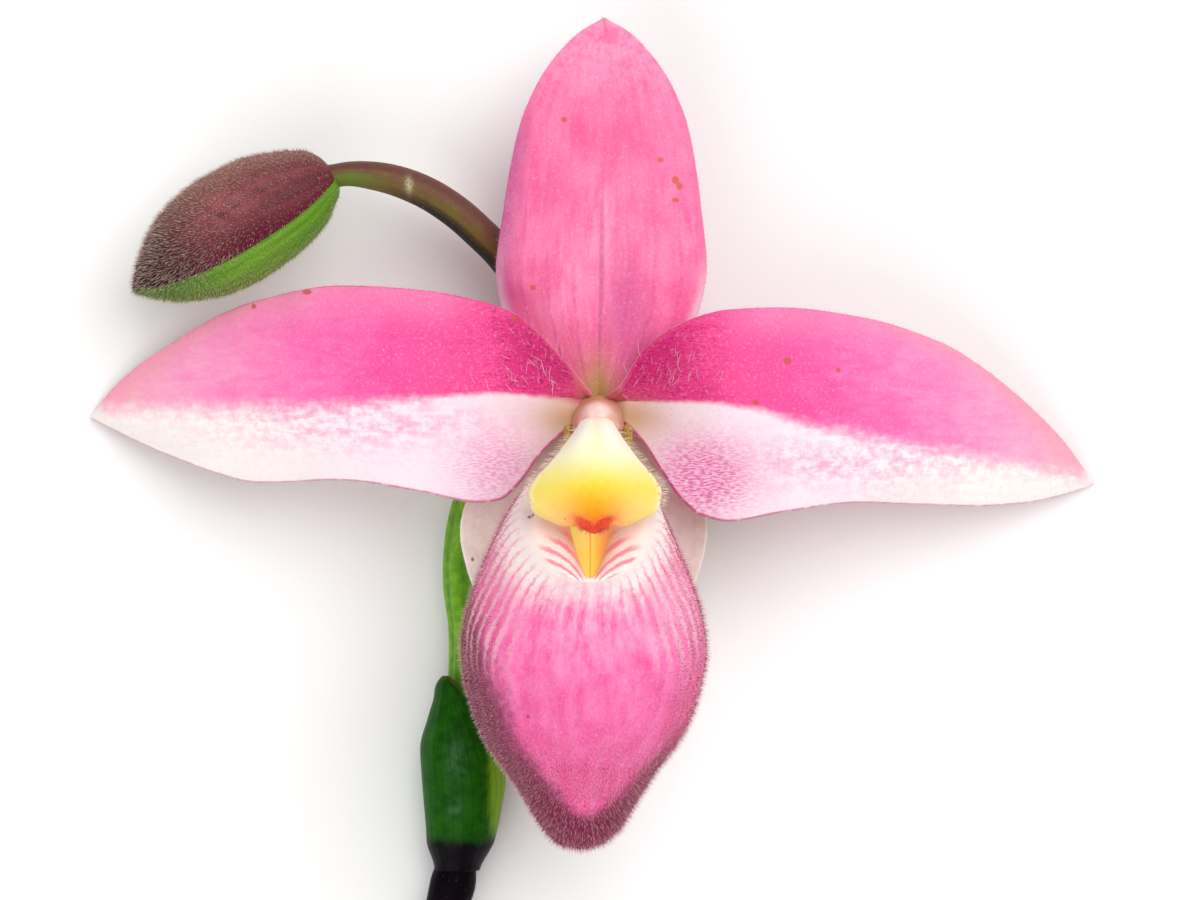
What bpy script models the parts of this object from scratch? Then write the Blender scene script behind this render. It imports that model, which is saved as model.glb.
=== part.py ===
# Phragmipedium orchid: one open flower and one bud on a cut stem, lying face up on a flat surface.
# Metres, +Z up. The flower looks up along +Z, its dorsal sepal points to +Y and the stem runs to -Y.
# It rests on the tips of the two petals, a flat spot under the lower bract and one under the cut end.

import math

import bmesh
import bpy
from mathutils import Vector

MM = 0.001
GAP = 0.3 * MM  # clearance between neighbouring organs
WELD = 0.001 * MM

# Where the middle of the flower stands, so that the origin is under the middle of the whole spray.
FLOWER_AT = Vector((0.45, 16.77, 0.0)) * MM

# Thickness of each leaf-thin organ.
PETAL_THICK = 0.70 * MM
SEPAL_THICK = 0.70 * MM
BRACT_THICK = 0.70 * MM
POUCH_WALL = 0.80 * MM
STAMINODE_THICK = 1.10 * MM

# Outline of each petal: (distance out from the flower's middle, upper edge, midrib, lower edge) in mm.
LEFT_PETAL = (
    (1.7, 2.6, 0.2, -1.9), (3.1, 4.3, 0.3, -2.9), (4.7, 5.6, 0.5, -4.5), (6.3, 6.7, 0.5, -6.7),
    (7.9, 7.4, 0.5, -8.0), (9.5, 7.9, 0.4, -8.2), (14.3, 8.8, 0.1, -7.3), (20.8, 9.2, -0.4, -6.4),
    (27.4, 8.1, -0.6, -6.6), (30.7, 6.9, -0.7, -5.9), (34.1, 5.0, -0.8, -4.7), (37.5, 2.9, -0.9, -3.3),
    (40.0, 0.7, -1.1, -2.1), (41.6, -1.3, -1.3, -1.3),
)
RIGHT_PETAL = (
    (1.7, 1.6, 0.0, -1.7), (3.4, 3.8, -0.1, -3.2), (5.0, 5.1, -0.1, -5.6), (6.6, 6.0, -0.1, -7.9),
    (8.2, 6.7, -0.2, -9.2), (10.4, 7.2, -0.5, -9.7), (14.6, 7.4, -1.3, -9.0), (21.0, 6.7, -2.7, -8.2),
    (27.7, 4.7, -4.0, -8.4), (31.0, 2.8, -4.8, -8.5), (34.4, 0.2, -5.5, -8.3), (37.8, -3.0, -6.2, -7.7),
    (40.7, -6.8, -6.8, -6.8),
)
PETAL_BASE = 2.4  # mm, how far out the base of a petal stands from the middle of the flower
PETAL_RISE = (  # (share of the length, height of the midrib in mm)
    (0.0, 11.3), (0.12, 11.8), (0.28, 12.0), (0.45, 11.1), (0.6, 9.2), (0.75, 6.4), (0.88, 3.4), (1.0, 0.3),
)
PETAL_CAMBER = ((0.0, 0.9), (0.12, 1.5), (0.3, 0.1), (0.5, -1.3), (0.8, -1.1), (0.95, -0.3), (1.0, 0.0))
PETAL_WAVE = 0.35  # mm, swing of the wave along the margins
PETAL_WAVES = 2.6  # waves along each margin
PETAL_CREASE = 0.28  # mm, depth of the fold along the midrib at the base
PETAL_GRID = (22, 10)

# Dorsal sepal: (share of the length, half width in mm), and the height of its middle.
DORSAL_BASE = -0.55
DORSAL_LENGTH = 31.2
DORSAL_WIDTH = (
    (0.0, 1.6), (0.03, 2.6), (0.09, 4.6), (0.17, 6.7), (0.25, 7.9), (0.35, 8.45), (0.51, 7.9),
    (0.62, 7.4), (0.73, 6.65), (0.81, 5.65), (0.86, 4.8), (0.915, 3.5), (0.96, 2.1), (1.0, 0.0),
)
DORSAL_RISE = ((0.0, 9.35), (0.1, 9.7), (0.25, 10.7), (0.5, 11.7), (0.75, 11.5), (1.0, 9.8))
DORSAL_ROLL = ((0.0, 0.2), (0.2, 1.2), (0.4, 2.0), (0.7, 1.5), (1.0, 0.0))
DORSAL_LEAN = 0.5  # mm, how far the tip leans to +X
DORSAL_GROOVE = 0.3
DORSAL_GRID = (20, 10)

# Synsepal, the two lower sepals grown into one, behind the pouch.
SYNSEPAL_BASE = -3.45
SYNSEPAL_LENGTH = 22.5
SYNSEPAL_WIDTH = (
    (0.0, 1.8), (0.06, 4.4), (0.14, 8.1), (0.22, 9.7), (0.32, 9.95), (0.45, 9.4), (0.6, 8.0),
    (0.75, 5.9), (0.88, 3.4), (0.96, 1.6), (1.0, 0.0),
)
SYNSEPAL_RISE = ((0.0, 9.35), (0.15, 8.7), (0.4, 7.5), (0.7, 7.1), (1.0, 7.6))
SYNSEPAL_SHIFT = ((0.0, 0.0), (0.3, -1.15), (1.0, -1.2))
SYNSEPAL_CUP = 1.1  # mm, how far the margins stand above the middle
SYNSEPAL_KEEL = 0.25  # mm, depth of the two keels on its back, one for each sepal
SYNSEPAL_GRID = (16, 10)

# Pouch: rings from its tip up to the rim, and then inward and down as the infolded flap.
# Each ring is (middle x, y, z, tilt in degrees, half width, half depth) in mm.
POUCH_RINGS = (
    (-1.4, -35.5, 16.6, 0, 0.0, 0.0), (-1.4, -35.1, 16.6, 0, 1.6, 1.5), (-1.3, -33.9, 16.7, 0, 2.95, 2.8),
    (-1.3, -31.5, 17.0, 0, 4.4, 4.2), (-1.3, -29.1, 17.3, 0, 5.9, 5.7), (-1.2, -26.8, 17.6, 0, 7.5, 7.2),
    (-1.1, -24.4, 17.9, 0, 8.5, 8.2), (-1.1, -22.0, 18.1, 3, 9.15, 8.8), (-1.1, -19.7, 18.3, 10, 9.45, 9.0),
    (-1.1, -17.4, 18.5, 18, 9.2, 9.0), (-1.1, -15.0, 18.7, 26, 8.5, 8.75), (-1.1, -12.8, 18.8, 34, 7.55, 8.4),
    (-1.0, -10.9, 18.9, 40, 6.6, 7.9), (-0.8, -9.8, 19.3, 44, 5.8, 7.4), (-0.7, -9.5, 19.9, 44, 5.1, 7.0),
    (-0.6, -9.5, 20.2, 44, 4.4, 6.65), (-0.6, -9.8, 19.8, 44, 3.7, 6.3), (-0.6, -10.3, 18.8, 44, 3.05, 6.05),
    (-0.6, -10.9, 17.6, 44, 2.75, 5.9),
)
POUCH_VEINS = 8  # low ridges that run down the pouch from its rim
POUCH_VEIN_LIFT = 0.10
POUCH_GRID = (26, 32)

# Staminode, the shield in front of the column: (share of the length, half width in mm).
STAMINODE_TOP = (-0.1, -1.9, 17.8)
STAMINODE_TIP = (-0.3, -10.5, 23.4)
STAMINODE_WIDTH = (
    (0.0, 1.3), (0.16, 2.6), (0.33, 3.6), (0.5, 4.4), (0.66, 5.0), (0.81, 5.25), (0.9, 5.05),
    (0.96, 4.5), (1.0, 3.4),
)
STAMINODE_SIDES = 0.8  # length of the side margins over that of the middle
STAMINODE_DOME = 1.5  # mm, how far the middle stands above the side margins
STAMINODE_NOTCH = 0.5  # mm, depth of the furrow at its tip
STAMINODE_GRID = (12, 10)

COLUMN_MIDDLE = (0.0, -2.0, 13.3)
COLUMN_HALF = (2.25, 2.2, 4.2)
ANTHER_AT = (2.85, -2.9, 14.9)
ANTHER_HALF = (0.62, 0.95, 0.95)
STIGMA_MIDDLE = (-0.1, -4.75, 16.5)
STIGMA_HALF = (1.4, 0.95, 0.7)

# Routes of the round organs: (x, y, z, radius) in mm.
RADIUS = 3
STEM_ROUTE = (
    (-17.6, -64.0, 1.62, 1.7), (-16.1, -56.5, 1.62, 1.7), (-14.4, -49.5, 1.85, 1.7),
    (-12.6, -42.0, 2.4, 1.65), (-11.5, -38.0, 2.75, 1.45), (-10.9, -34.8, 2.75, 1.4),
    (-10.3, -30.8, 2.45, 1.2), (-9.3, -26.0, 2.15, 1.2), (-7.8, -19.5, 1.9, 1.2),
    (-6.2, -10.5, 1.6, 1.2), (-5.2, -3.0, 1.8, 1.15), (-4.8, 1.4, 2.5, 1.15), (-4.9, 5.4, 3.3, 1.15),
)
OVARY_ROUTE = (
    (-11.85, -31.0, 4.35, 0.9), (-11.4, -27.6, 4.4, 1.1), (-10.9, -22.8, 4.1, 1.3), (-10.6, -18.4, 3.9, 1.6),
    (-10.8, -14.2, 4.0, 1.85), (-10.3, -9.8, 4.3, 1.9), (-8.8, -5.9, 4.7, 1.85), (-6.4, -3.2, 4.9, 1.8),
    (-3.7, -2.2, 5.2, 1.75), (-1.3, -2.0, 6.5, 1.7), (-0.2, -2.0, 8.4, 1.65),
)
BUD_STALK_ROUTE = (
    (-5.05, 6.1, 3.55, 1.15), (-6.2, 9.3, 4.7, 1.25), (-7.9, 11.9, 5.7, 1.35), (-9.6, 13.6, 6.5, 1.37),
    (-11.3, 15.1, 7.1, 1.37), (-14.4, 17.0, 7.9, 1.33), (-17.6, 18.0, 8.3, 1.2), (-21.0, 18.1, 8.5, 0.95),
)
STEM_RINGS, OVARY_RINGS, STALK_RINGS = 46, 22, 18
TUBE_ROUNDING = 4  # bevel resolution
RIB_COUNT = 6
RIB_DEPTH = 0.09  # share of the radius

# The block of ground that the bract and the cut end lie on, which flattens their lowest spots.
GROUND_FROM = (-24.0, -76.0, -4.0)
GROUND_TO = (-6.0, -24.0, 0.0)

# Bud: its axis, and its outline as (share of the length, half width above, half width below) in mm.
BUD_BASE = (-21.6, 17.9, 8.5)
BUD_TIP = (-37.5, 8.8, 8.1)
BUD_OUTLINE = (
    (0.0, 1.5, 1.2), (0.035, 2.6, 1.8), (0.11, 3.6, 2.95), (0.2, 4.3, 3.6), (0.345, 4.95, 4.1),
    (0.5, 5.0, 4.25), (0.63, 4.65, 4.0), (0.74, 4.0, 3.35), (0.83, 2.95, 2.6), (0.94, 1.2, 1.15),
    (1.0, 0.0, 0.0),
)
BUD_DEPTH = 0.92  # depth over mean width
BUD_SEAM = math.radians(28)  # the seam's turn about the axis of the bud
BUD_KEEL = 0.22  # mm, lift of the keel along each bud sepal
BUD_GRID = (22, 16)

# Bracts: a leaf wrapped about an axis. (share, x, y, z, half width, half depth, half wrap in degrees).
LOWER_BRACT = (
    (0.0, -11.5, -38.3, 2.72, 2.25, 2.2, 172), (0.1, -11.3, -36.7, 2.85, 2.4, 2.35, 168),
    (0.25, -11.05, -34.2, 3.1, 2.75, 2.7, 160), (0.42, -10.95, -31.2, 3.25, 3.1, 3.0, 150),
    (0.58, -10.95, -28.4, 3.42, 3.25, 3.1, 130), (0.74, -11.0, -25.9, 3.95, 2.6, 2.6, 100),
    (0.88, -11.0, -23.9, 4.1, 2.1, 2.2, 60), (1.0, -10.95, -22.3, 4.1, 2.05, 2.15, 8),
)
LOWER_BRACT_KEEL = math.radians(132)
UPPER_BRACT = (
    (0.0, -4.9, 0.2, 2.3, 1.85, 1.8, 168), (0.25, -4.85, 2.8, 2.8, 1.95, 1.9, 150),
    (0.5, -4.95, 5.6, 3.45, 2.05, 2.0, 115), (0.75, -5.6, 8.2, 4.35, 2.1, 2.05, 75),
    (1.0, -6.6, 10.8, 5.2, 2.1, 2.1, 6),
)
UPPER_BRACT_KEEL = math.radians(15)
BRACT_GRID = (14, 14)

# Each node's colour and roughness.
ROSE = (0.86, 0.16, 0.42)
LEAF_GREEN = (0.10, 0.24, 0.04)
OLIVE = (0.21, 0.14, 0.07)
FINISH = {
    "petal_left": (ROSE, 0.55), "petal_right": (ROSE, 0.55), "dorsal_sepal": ((0.87, 0.35, 0.52), 0.55),
    "synsepal": ((0.80, 0.68, 0.70), 0.6), "pouch": (ROSE, 0.5), "staminode": ((0.90, 0.66, 0.08), 0.5),
    "column": ((0.87, 0.55, 0.50), 0.5), "stigma": ((0.60, 0.62, 0.30), 0.4),
    "anther_left": (OLIVE, 0.7), "anther_right": (OLIVE, 0.7), "stem": ((0.05, 0.07, 0.03), 0.45),
    "ovary": (LEAF_GREEN, 0.5), "bract_lower": (LEAF_GREEN, 0.4), "bract_upper": (LEAF_GREEN, 0.4),
    "bud_stalk": (OLIVE, 0.45), "bud_dorsal_sepal": ((0.16, 0.06, 0.07), 0.6),
    "bud_synsepal": ((0.14, 0.22, 0.07), 0.6),
}


def clear_scene():
    for obj in list(bpy.data.objects):
        bpy.data.objects.remove(obj)


def new_collection(name, hidden=False):
    collection = bpy.data.collections.new(name)
    collection.hide_render = hidden
    bpy.context.scene.collection.children.link(collection)
    return collection


def make_material(name):
    colour, roughness = FINISH[name]
    material = bpy.data.materials.new(name)
    material.use_nodes = True
    shader = material.node_tree.nodes["Principled BSDF"]
    shader.inputs["Base Color"].default_value = (*colour, 1.0)
    shader.inputs["Roughness"].default_value = roughness
    shader.inputs["Metallic"].default_value = 0.0
    return material


def track(xs, ys, limited):
    """A smooth function through points. Limited slopes keep it from overshooting between them."""
    spans = [b - a for a, b in zip(xs, xs[1:])]
    chords = [(b - a) / span for a, b, span in zip(ys, ys[1:], spans)]
    slopes = [chords[0]]
    for i in range(len(chords) - 1):
        before, after = chords[i], chords[i + 1]
        if limited:
            slopes.append(0.0 if before * after <= 0 else 2 * before * after / (before + after))
        else:
            slopes.append((before * spans[i + 1] + after * spans[i]) / (spans[i] + spans[i + 1]))
    slopes.append(chords[-1])

    def value(x):
        i = next((k for k in range(len(xs) - 2) if x < xs[k + 1]), len(xs) - 2)
        t = min(max((x - xs[i]) / spans[i], 0.0), 1.0)
        rise = (3 - 2 * t) * t * t
        bend = t * (1 - t) * ((1 - t) * slopes[i] - t * slopes[i + 1])
        return ys[i] + rise * (ys[i + 1] - ys[i]) + spans[i] * bend

    return value


def smooth(stations, column=1):
    return track([row[0] for row in stations], [row[column] for row in stations], True)


def even_route(stations, count):
    """Rows (x, y, z, radius) at even steps along one smooth curve through the stations."""
    length = [0.0]
    for a, b in zip(stations, stations[1:]):
        length.append(length[-1] + math.dist(a[:3], b[:3]))
    tracks = [track(length, [row[k] for row in stations], k == RADIUS) for k in range(4)]
    steps = [length[-1] * i / (count - 1) for i in range(count)]
    return [tuple(axis(s) for axis in tracks) for s in steps]


def add(obj, collection, plant):
    collection.objects.link(obj)
    obj.data.materials.append(make_material(obj.name))
    obj.parent = plant
    return obj


def add_helper(obj, helpers):
    obj.hide_render = True
    obj.display_type = "WIRE"
    helpers.objects.link(obj)
    return obj


def mesh_object(name, bm):
    mesh = bpy.data.meshes.new(name)
    bm.to_mesh(mesh)
    bm.free()
    mesh.shade_smooth()
    return bpy.data.objects.new(name, mesh)


def sheet(name, grid, place, thickness, offset=0.0):
    """A thin organ: a grid laid out by place(share of the length, -1 to 1 across), split into
    triangles so that both faces match, and given its thickness."""
    bm = bmesh.new()
    bmesh.ops.create_grid(bm, x_segments=grid[0], y_segments=grid[1], size=1.0)
    for vert in bm.verts:
        vert.co = place((vert.co.x + 1) / 2, vert.co.y) * MM
    bmesh.ops.remove_doubles(bm, verts=bm.verts, dist=WELD)
    bmesh.ops.triangulate(bm, faces=bm.faces)
    obj = mesh_object(name, bm)
    solid = obj.modifiers.new("Thickness", "SOLIDIFY")
    solid.thickness = thickness
    solid.offset = offset
    return obj


def ball(name, middle, half, segments=16, rings=10):
    bm = bmesh.new()
    bmesh.ops.create_uvsphere(bm, u_segments=segments, v_segments=rings, radius=1.0)
    for vert in bm.verts:
        vert.co = Vector(m + h * c for m, h, c in zip(middle, half, vert.co)) * MM
    return mesh_object(name, bm)


def tube(name, stations, rings, profile=None):
    """A round organ along its route, or one with the given closed profile."""
    curve = bpy.data.curves.new(name, "CURVE")
    curve.dimensions = "3D"
    curve.twist_mode = "MINIMUM"
    curve.use_fill_caps = True
    if profile is None:
        curve.bevel_depth = MM
        curve.bevel_resolution = TUBE_ROUNDING
    else:
        curve.bevel_mode = "OBJECT"
        curve.bevel_object = profile
    spline = curve.splines.new("POLY")
    rows = even_route(stations, rings)
    spline.points.add(len(rows) - 1)
    for point, (x, y, z, radius) in zip(spline.points, rows):
        point.co = (x * MM, y * MM, z * MM, 1.0)
        point.radius = radius
    return bpy.data.objects.new(name, curve)


def ribbed_profile(helpers):
    """The cross section of the ovary, a circle of 1 mm with low ribs, as a guide curve."""
    sides = 4 * RIB_COUNT
    curve = bpy.data.curves.new("rib_profile", "CURVE")
    spline = curve.splines.new("POLY")
    spline.points.add(sides - 1)
    for i, point in enumerate(spline.points):
        turn = -2 * math.pi * i / sides
        reach = MM * (1 - RIB_DEPTH / 2 + RIB_DEPTH / 2 * math.cos(RIB_COUNT * turn))
        point.co = (reach * math.cos(turn), reach * math.sin(turn), 0.0, 1.0)
    spline.use_cyclic_u = True
    return add_helper(bpy.data.objects.new("rib_profile", curve), helpers)


def ridge(w):
    """The share of a ridge's or furrow's height at w across, from 1 on its line to 0 beside it."""
    return max(0.0, 1 - abs(w) / 0.2)


def make_petal(name, outline, side):
    """side is -1 for the petal on the left and +1 for the one on the right."""
    upper, rib, lower = (smooth(outline, k) for k in (1, 2, 3))
    rise, camber = smooth(PETAL_RISE), smooth(PETAL_CAMBER)
    reach = outline[-1][0]
    inner = outline[0][0]

    def place(s, w):
        base = PETAL_BASE - (PETAL_BASE - inner) * max(w, 0.0)
        out = base + s * (reach - base)
        edge = upper(out) if w > 0 else lower(out)
        y = rib(out) + abs(w) * (edge - rib(out))
        wave = PETAL_WAVE * math.sin(2 * math.pi * PETAL_WAVES * s + 1.0) * w ** 2 * math.sin(math.pi * s)
        crease = PETAL_CREASE * (1 - s) * ridge(w)
        return Vector((side * out, y, rise(s) + camber(s) * w ** 2 + wave - crease))

    return sheet(name, PETAL_GRID, place, PETAL_THICK)


def make_dorsal_sepal():
    width, rise, roll = smooth(DORSAL_WIDTH), smooth(DORSAL_RISE), smooth(DORSAL_ROLL)

    def place(s, w):
        groove = DORSAL_GROOVE * ridge(w) * (1 - 0.6 * s)
        lean = DORSAL_LEAN * math.sin(math.pi * s / 2)
        height = rise(s) - roll(s) * abs(w) ** 2.6 - groove
        return Vector((lean + w * width(s), DORSAL_BASE + s * DORSAL_LENGTH, height))

    return sheet("dorsal_sepal", DORSAL_GRID, place, SEPAL_THICK)


def make_synsepal():
    width, rise, shift = smooth(SYNSEPAL_WIDTH), smooth(SYNSEPAL_RISE), smooth(SYNSEPAL_SHIFT)

    def place(s, w):
        height = rise(s) + SYNSEPAL_CUP * w ** 2 * math.sin(math.pi * min(1.0, s + 0.1))
        keel = SYNSEPAL_KEEL * ridge(abs(w) - 0.4) * math.sin(math.pi * s)
        return Vector((shift(s) + w * width(s), SYNSEPAL_BASE - s * SYNSEPAL_LENGTH, height - keel))

    return sheet("synsepal", SYNSEPAL_GRID, place, SEPAL_THICK)


def make_pouch():
    last = len(POUCH_RINGS) - 1
    rows = [(i / last, *ring) for i, ring in enumerate(POUCH_RINGS)]
    middle_x, middle_y, middle_z, tilt, half_width, half_depth = (smooth(rows, k) for k in range(1, 7))

    def place(v, w):
        turn = math.pi * w
        lean = math.radians(tilt(v))
        veins = POUCH_VEIN_LIFT * math.cos(POUCH_VEINS * turn) * math.sin(math.pi * min(1.0, v / 0.85)) ** 2
        across = (half_width(v) + veins) * math.sin(turn)
        deep = (half_depth(v) + veins) * math.cos(turn)
        if v == 0:
            across = deep = 0.0
        return Vector((
            middle_x(v) + across,
            middle_y(v) - deep * math.sin(lean),
            middle_z(v) + deep * math.cos(lean),
        ))

    return sheet("pouch", POUCH_GRID, place, POUCH_WALL, offset=1.0)


def make_staminode():
    width = smooth(STAMINODE_WIDTH)
    top, tip = Vector(STAMINODE_TOP), Vector(STAMINODE_TIP)
    outward = (tip - top).cross(Vector((1.0, 0.0, 0.0))).normalized()

    def place(s, w):
        dome = STAMINODE_DOME * (1 - w ** 2) * math.sin(math.pi * (0.05 + 0.85 * s)) ** 0.7
        notch = STAMINODE_NOTCH * ridge(w / 2) * max(0.0, (s - 0.75) / 0.25)
        share = s * (1 - (1 - STAMINODE_SIDES) * abs(w) ** 1.4)
        point = top.lerp(tip, share) + outward * (dome - notch)
        return point + Vector((w * width(s), 0.0, 0.0))

    return sheet("staminode", STAMINODE_GRID, place, STAMINODE_THICK)


def make_bract(name, stations, keel):
    """A pointed leaf wrapped about its axis, closed round the stem at its base and open above."""
    parts = [smooth(stations, k) for k in range(1, 7)]

    def place(t, w):
        x, y, z, half_width, half_depth, wrap = (part(t) for part in parts)
        turn = keel + w * math.radians(wrap)
        return Vector((x + half_width * math.cos(turn), y, z + half_depth * math.sin(turn)))

    return sheet(name, BRACT_GRID, place, BRACT_THICK)


def make_bud_halves():
    """The bud's two closed sepals: one pointed ovoid, parted along a plane through its axis."""
    base, tip = Vector(BUD_BASE), Vector(BUD_TIP)
    along = (tip - base).normalized()
    up = along.cross(Vector((0.0, 0.0, 1.0))).normalized()
    front = up.cross(along)
    above, below = smooth(BUD_OUTLINE, 1), smooth(BUD_OUTLINE, 2)
    seam = (up * math.cos(BUD_SEAM) + front * math.sin(BUD_SEAM)).normalized()

    def whole():
        bm = bmesh.new()
        bmesh.ops.create_uvsphere(bm, u_segments=BUD_GRID[0], v_segments=BUD_GRID[1], radius=1.0)
        for vert in bm.verts:
            t = math.acos(max(-1.0, min(1.0, vert.co.z))) / math.pi
            t = 0.5 - 0.5 * math.cos(math.pi * t) if 0 < t < 1 else t
            turn = math.atan2(vert.co.y, vert.co.x)
            pole = abs(vert.co.z) > 0.9999
            high, low = above(t), below(t)
            side = high if math.cos(turn) > 0 else low
            keel = BUD_KEEL * max(0.0, math.cos(2 * (turn - BUD_SEAM))) ** 6 * math.sin(math.pi * t)
            lift = 0.0 if pole else (side + keel) * math.cos(turn)
            deep = 0.0 if pole else BUD_DEPTH * (high + low) / 2 * math.sin(turn)
            vert.co = (base.lerp(tip, t) + up * lift + front * deep) * MM
        return bm

    halves = []
    for name, side in (("bud_dorsal_sepal", 1), ("bud_synsepal", -1)):
        bm = whole()
        normal = seam * side
        cut = bmesh.ops.bisect_plane(
            bm, geom=bm.verts[:] + bm.edges[:] + bm.faces[:], dist=WELD / 10,
            plane_co=base * MM + normal * GAP / 2, plane_no=normal, clear_inner=True,
        )
        rim = [item for item in cut["geom_cut"] if isinstance(item, bmesh.types.BMEdge)]
        bmesh.ops.triangle_fill(bm, use_beauty=True, edges=rim)
        bmesh.ops.recalc_face_normals(bm, faces=bm.faces)
        halves.append(mesh_object(name, bm))
    return halves


def make_stem(collection):
    """The scape and rachis in one: a tapering tube."""
    route = tube("stem_route", STEM_ROUTE, STEM_RINGS)
    collection.objects.link(route)
    bpy.context.view_layer.update()
    graph = bpy.context.evaluated_depsgraph_get()
    mesh = bpy.data.meshes.new_from_object(route.evaluated_get(graph))
    bpy.data.objects.remove(route)
    bm = bmesh.new()
    bm.from_mesh(mesh)
    bmesh.ops.remove_doubles(bm, verts=bm.verts, dist=WELD)
    return mesh_object("stem", bm)


def make_ground(helpers, plant):
    """The cutter that flattens what would reach below the surface."""
    low, high = Vector(GROUND_FROM) * MM, Vector(GROUND_TO) * MM
    bm = bmesh.new()
    bmesh.ops.create_cube(bm, size=1.0)
    bmesh.ops.scale(bm, verts=bm.verts, vec=high - low)
    bmesh.ops.translate(bm, verts=bm.verts, vec=(low + high) / 2)
    ground = add_helper(mesh_object("ground_cutter", bm), helpers)
    ground.parent = plant
    return ground


def flatten(obj, ground):
    cut = obj.modifiers.new("Flat", "BOOLEAN")
    cut.operation = "DIFFERENCE"
    cut.object = ground


def build():
    clear_scene()
    spray = new_collection("phragmipedium_orchid")
    helpers = new_collection("helpers", hidden=True)
    plant = bpy.data.objects.new("plant", None)
    plant.location = FLOWER_AT
    spray.objects.link(plant)

    add(make_petal("petal_left", LEFT_PETAL, -1), spray, plant)
    add(make_petal("petal_right", RIGHT_PETAL, 1), spray, plant)
    add(make_dorsal_sepal(), spray, plant)
    add(make_synsepal(), spray, plant)
    add(make_pouch(), spray, plant)
    add(make_staminode(), spray, plant)
    add(ball("column", COLUMN_MIDDLE, COLUMN_HALF), spray, plant)
    add(ball("stigma", STIGMA_MIDDLE, STIGMA_HALF, 12, 8), spray, plant)
    for name, side in (("anther_left", -1), ("anther_right", 1)):
        add(ball(name, (side * ANTHER_AT[0], *ANTHER_AT[1:]), ANTHER_HALF, 10, 6), spray, plant)

    ground = make_ground(helpers, plant)
    flatten(add(make_stem(spray), spray, plant), ground)
    flatten(add(make_bract("bract_lower", LOWER_BRACT, LOWER_BRACT_KEEL), spray, plant), ground)
    add(make_bract("bract_upper", UPPER_BRACT, UPPER_BRACT_KEEL), spray, plant)
    add(tube("ovary", OVARY_ROUTE, OVARY_RINGS, ribbed_profile(helpers)), spray, plant)
    add(tube("bud_stalk", BUD_STALK_ROUTE, STALK_RINGS), spray, plant)
    for half in make_bud_halves():
        add(half, spray, plant)


build()
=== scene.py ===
# Phragmipedium orchid: the looks of one open flower and one bud on a cut stem, lying face up.
# Shapes are worked out in millimetres from the middle of the flower, then placed in metres.

import math

import bpy
import numpy as np
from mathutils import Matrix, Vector


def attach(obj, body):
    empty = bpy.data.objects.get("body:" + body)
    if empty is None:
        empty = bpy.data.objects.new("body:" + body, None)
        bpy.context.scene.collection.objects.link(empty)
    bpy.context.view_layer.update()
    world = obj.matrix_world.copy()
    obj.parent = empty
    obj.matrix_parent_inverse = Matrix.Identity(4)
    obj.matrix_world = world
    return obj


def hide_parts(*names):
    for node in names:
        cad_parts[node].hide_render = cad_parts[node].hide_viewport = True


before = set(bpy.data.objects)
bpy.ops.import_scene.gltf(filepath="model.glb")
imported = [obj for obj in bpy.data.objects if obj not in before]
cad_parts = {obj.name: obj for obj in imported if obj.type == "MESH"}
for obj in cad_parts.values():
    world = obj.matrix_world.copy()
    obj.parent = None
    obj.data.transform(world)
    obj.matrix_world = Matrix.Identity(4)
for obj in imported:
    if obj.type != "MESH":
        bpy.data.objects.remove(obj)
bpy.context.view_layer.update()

mm = 0.001
weld = 0.0005  # mm, points this close become one
flowerAt = np.array((0.45, 16.77, 0.0))  # mm, where the middle of the flower stands
body = "root"


def curveThrough(rows, column=1, limited=True):
    # a smooth function through a table's rows; limited slopes keep it between them
    xs = np.array([row[0] for row in rows], float)
    ys = np.array([row[column] for row in rows], float)
    spans = np.diff(xs)
    chords = np.diff(ys) / spans
    before = chords[:-1]
    after = chords[1:]
    if limited:
        rising = before * after > 0
        inner = np.where(rising, 2 * before * after / np.where(rising, before + after, 1.0), 0.0)
    else:
        inner = (before * spans[1:] + after * spans[:-1]) / (spans[1:] + spans[:-1])
    slopes = np.concatenate([chords[:1], inner, chords[-1:]])

    def value(x):
        i = np.clip(np.searchsorted(xs, x, side="right") - 1, 0, len(spans) - 1)
        t = np.clip((x - xs[i]) / spans[i], 0.0, 1.0)
        rise = (3 - 2 * t) * t * t
        bend = t * (1 - t) * ((1 - t) * slopes[i] - t * slopes[i + 1])
        return ys[i] + rise * (ys[i + 1] - ys[i]) + spans[i] * bend

    return value


def evenRoute(stations, count):
    # rows of (x, y, z, radius) at even steps along one smooth curve through the stations
    stations = np.array(stations, float)
    steps = np.linalg.norm(np.diff(stations[:, :3], axis=0), axis=1)
    length = np.concatenate([[0.0], np.cumsum(steps)])
    at = np.linspace(0.0, length[-1], count)
    rows = [(x, *station) for x, station in zip(length, stations)]
    return at, np.stack([curveThrough(rows, k, k == 4)(at) for k in (1, 2, 3, 4)], axis=1)


def ridge(w, width=0.2):
    return np.maximum(0.0, 1 - np.abs(w) / width)


def softStep(x, low, high):
    t = np.clip((x - low) / (high - low), 0.0, 1.0)
    return t * t * (3 - 2 * t)


def spot(x, y, middle, reach):
    # 1 at the middle of an oval and falling off smoothly past its reach
    return np.exp(-((x - middle[0]) / reach[0]) ** 2 - ((y - middle[1]) / reach[1]) ** 2)


def unit(vectors):
    size = np.linalg.norm(vectors, axis=-1, keepdims=True)
    return vectors / np.where(size > 1e-9, size, 1.0)


def gridNormals(grid):
    normals = np.cross(np.gradient(grid, axis=0), np.gradient(grid, axis=1))
    size = np.linalg.norm(normals, axis=-1)
    for row in (0, -1):  # a row drawn together in one point takes its neighbours' direction
        if size[row].max() < 1e-6 or np.ptp(grid[row], axis=0).max() < 1e-6:
            normals[row] = normals[1 if row == 0 else -2].mean(axis=0)
    return unit(normals)


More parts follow.
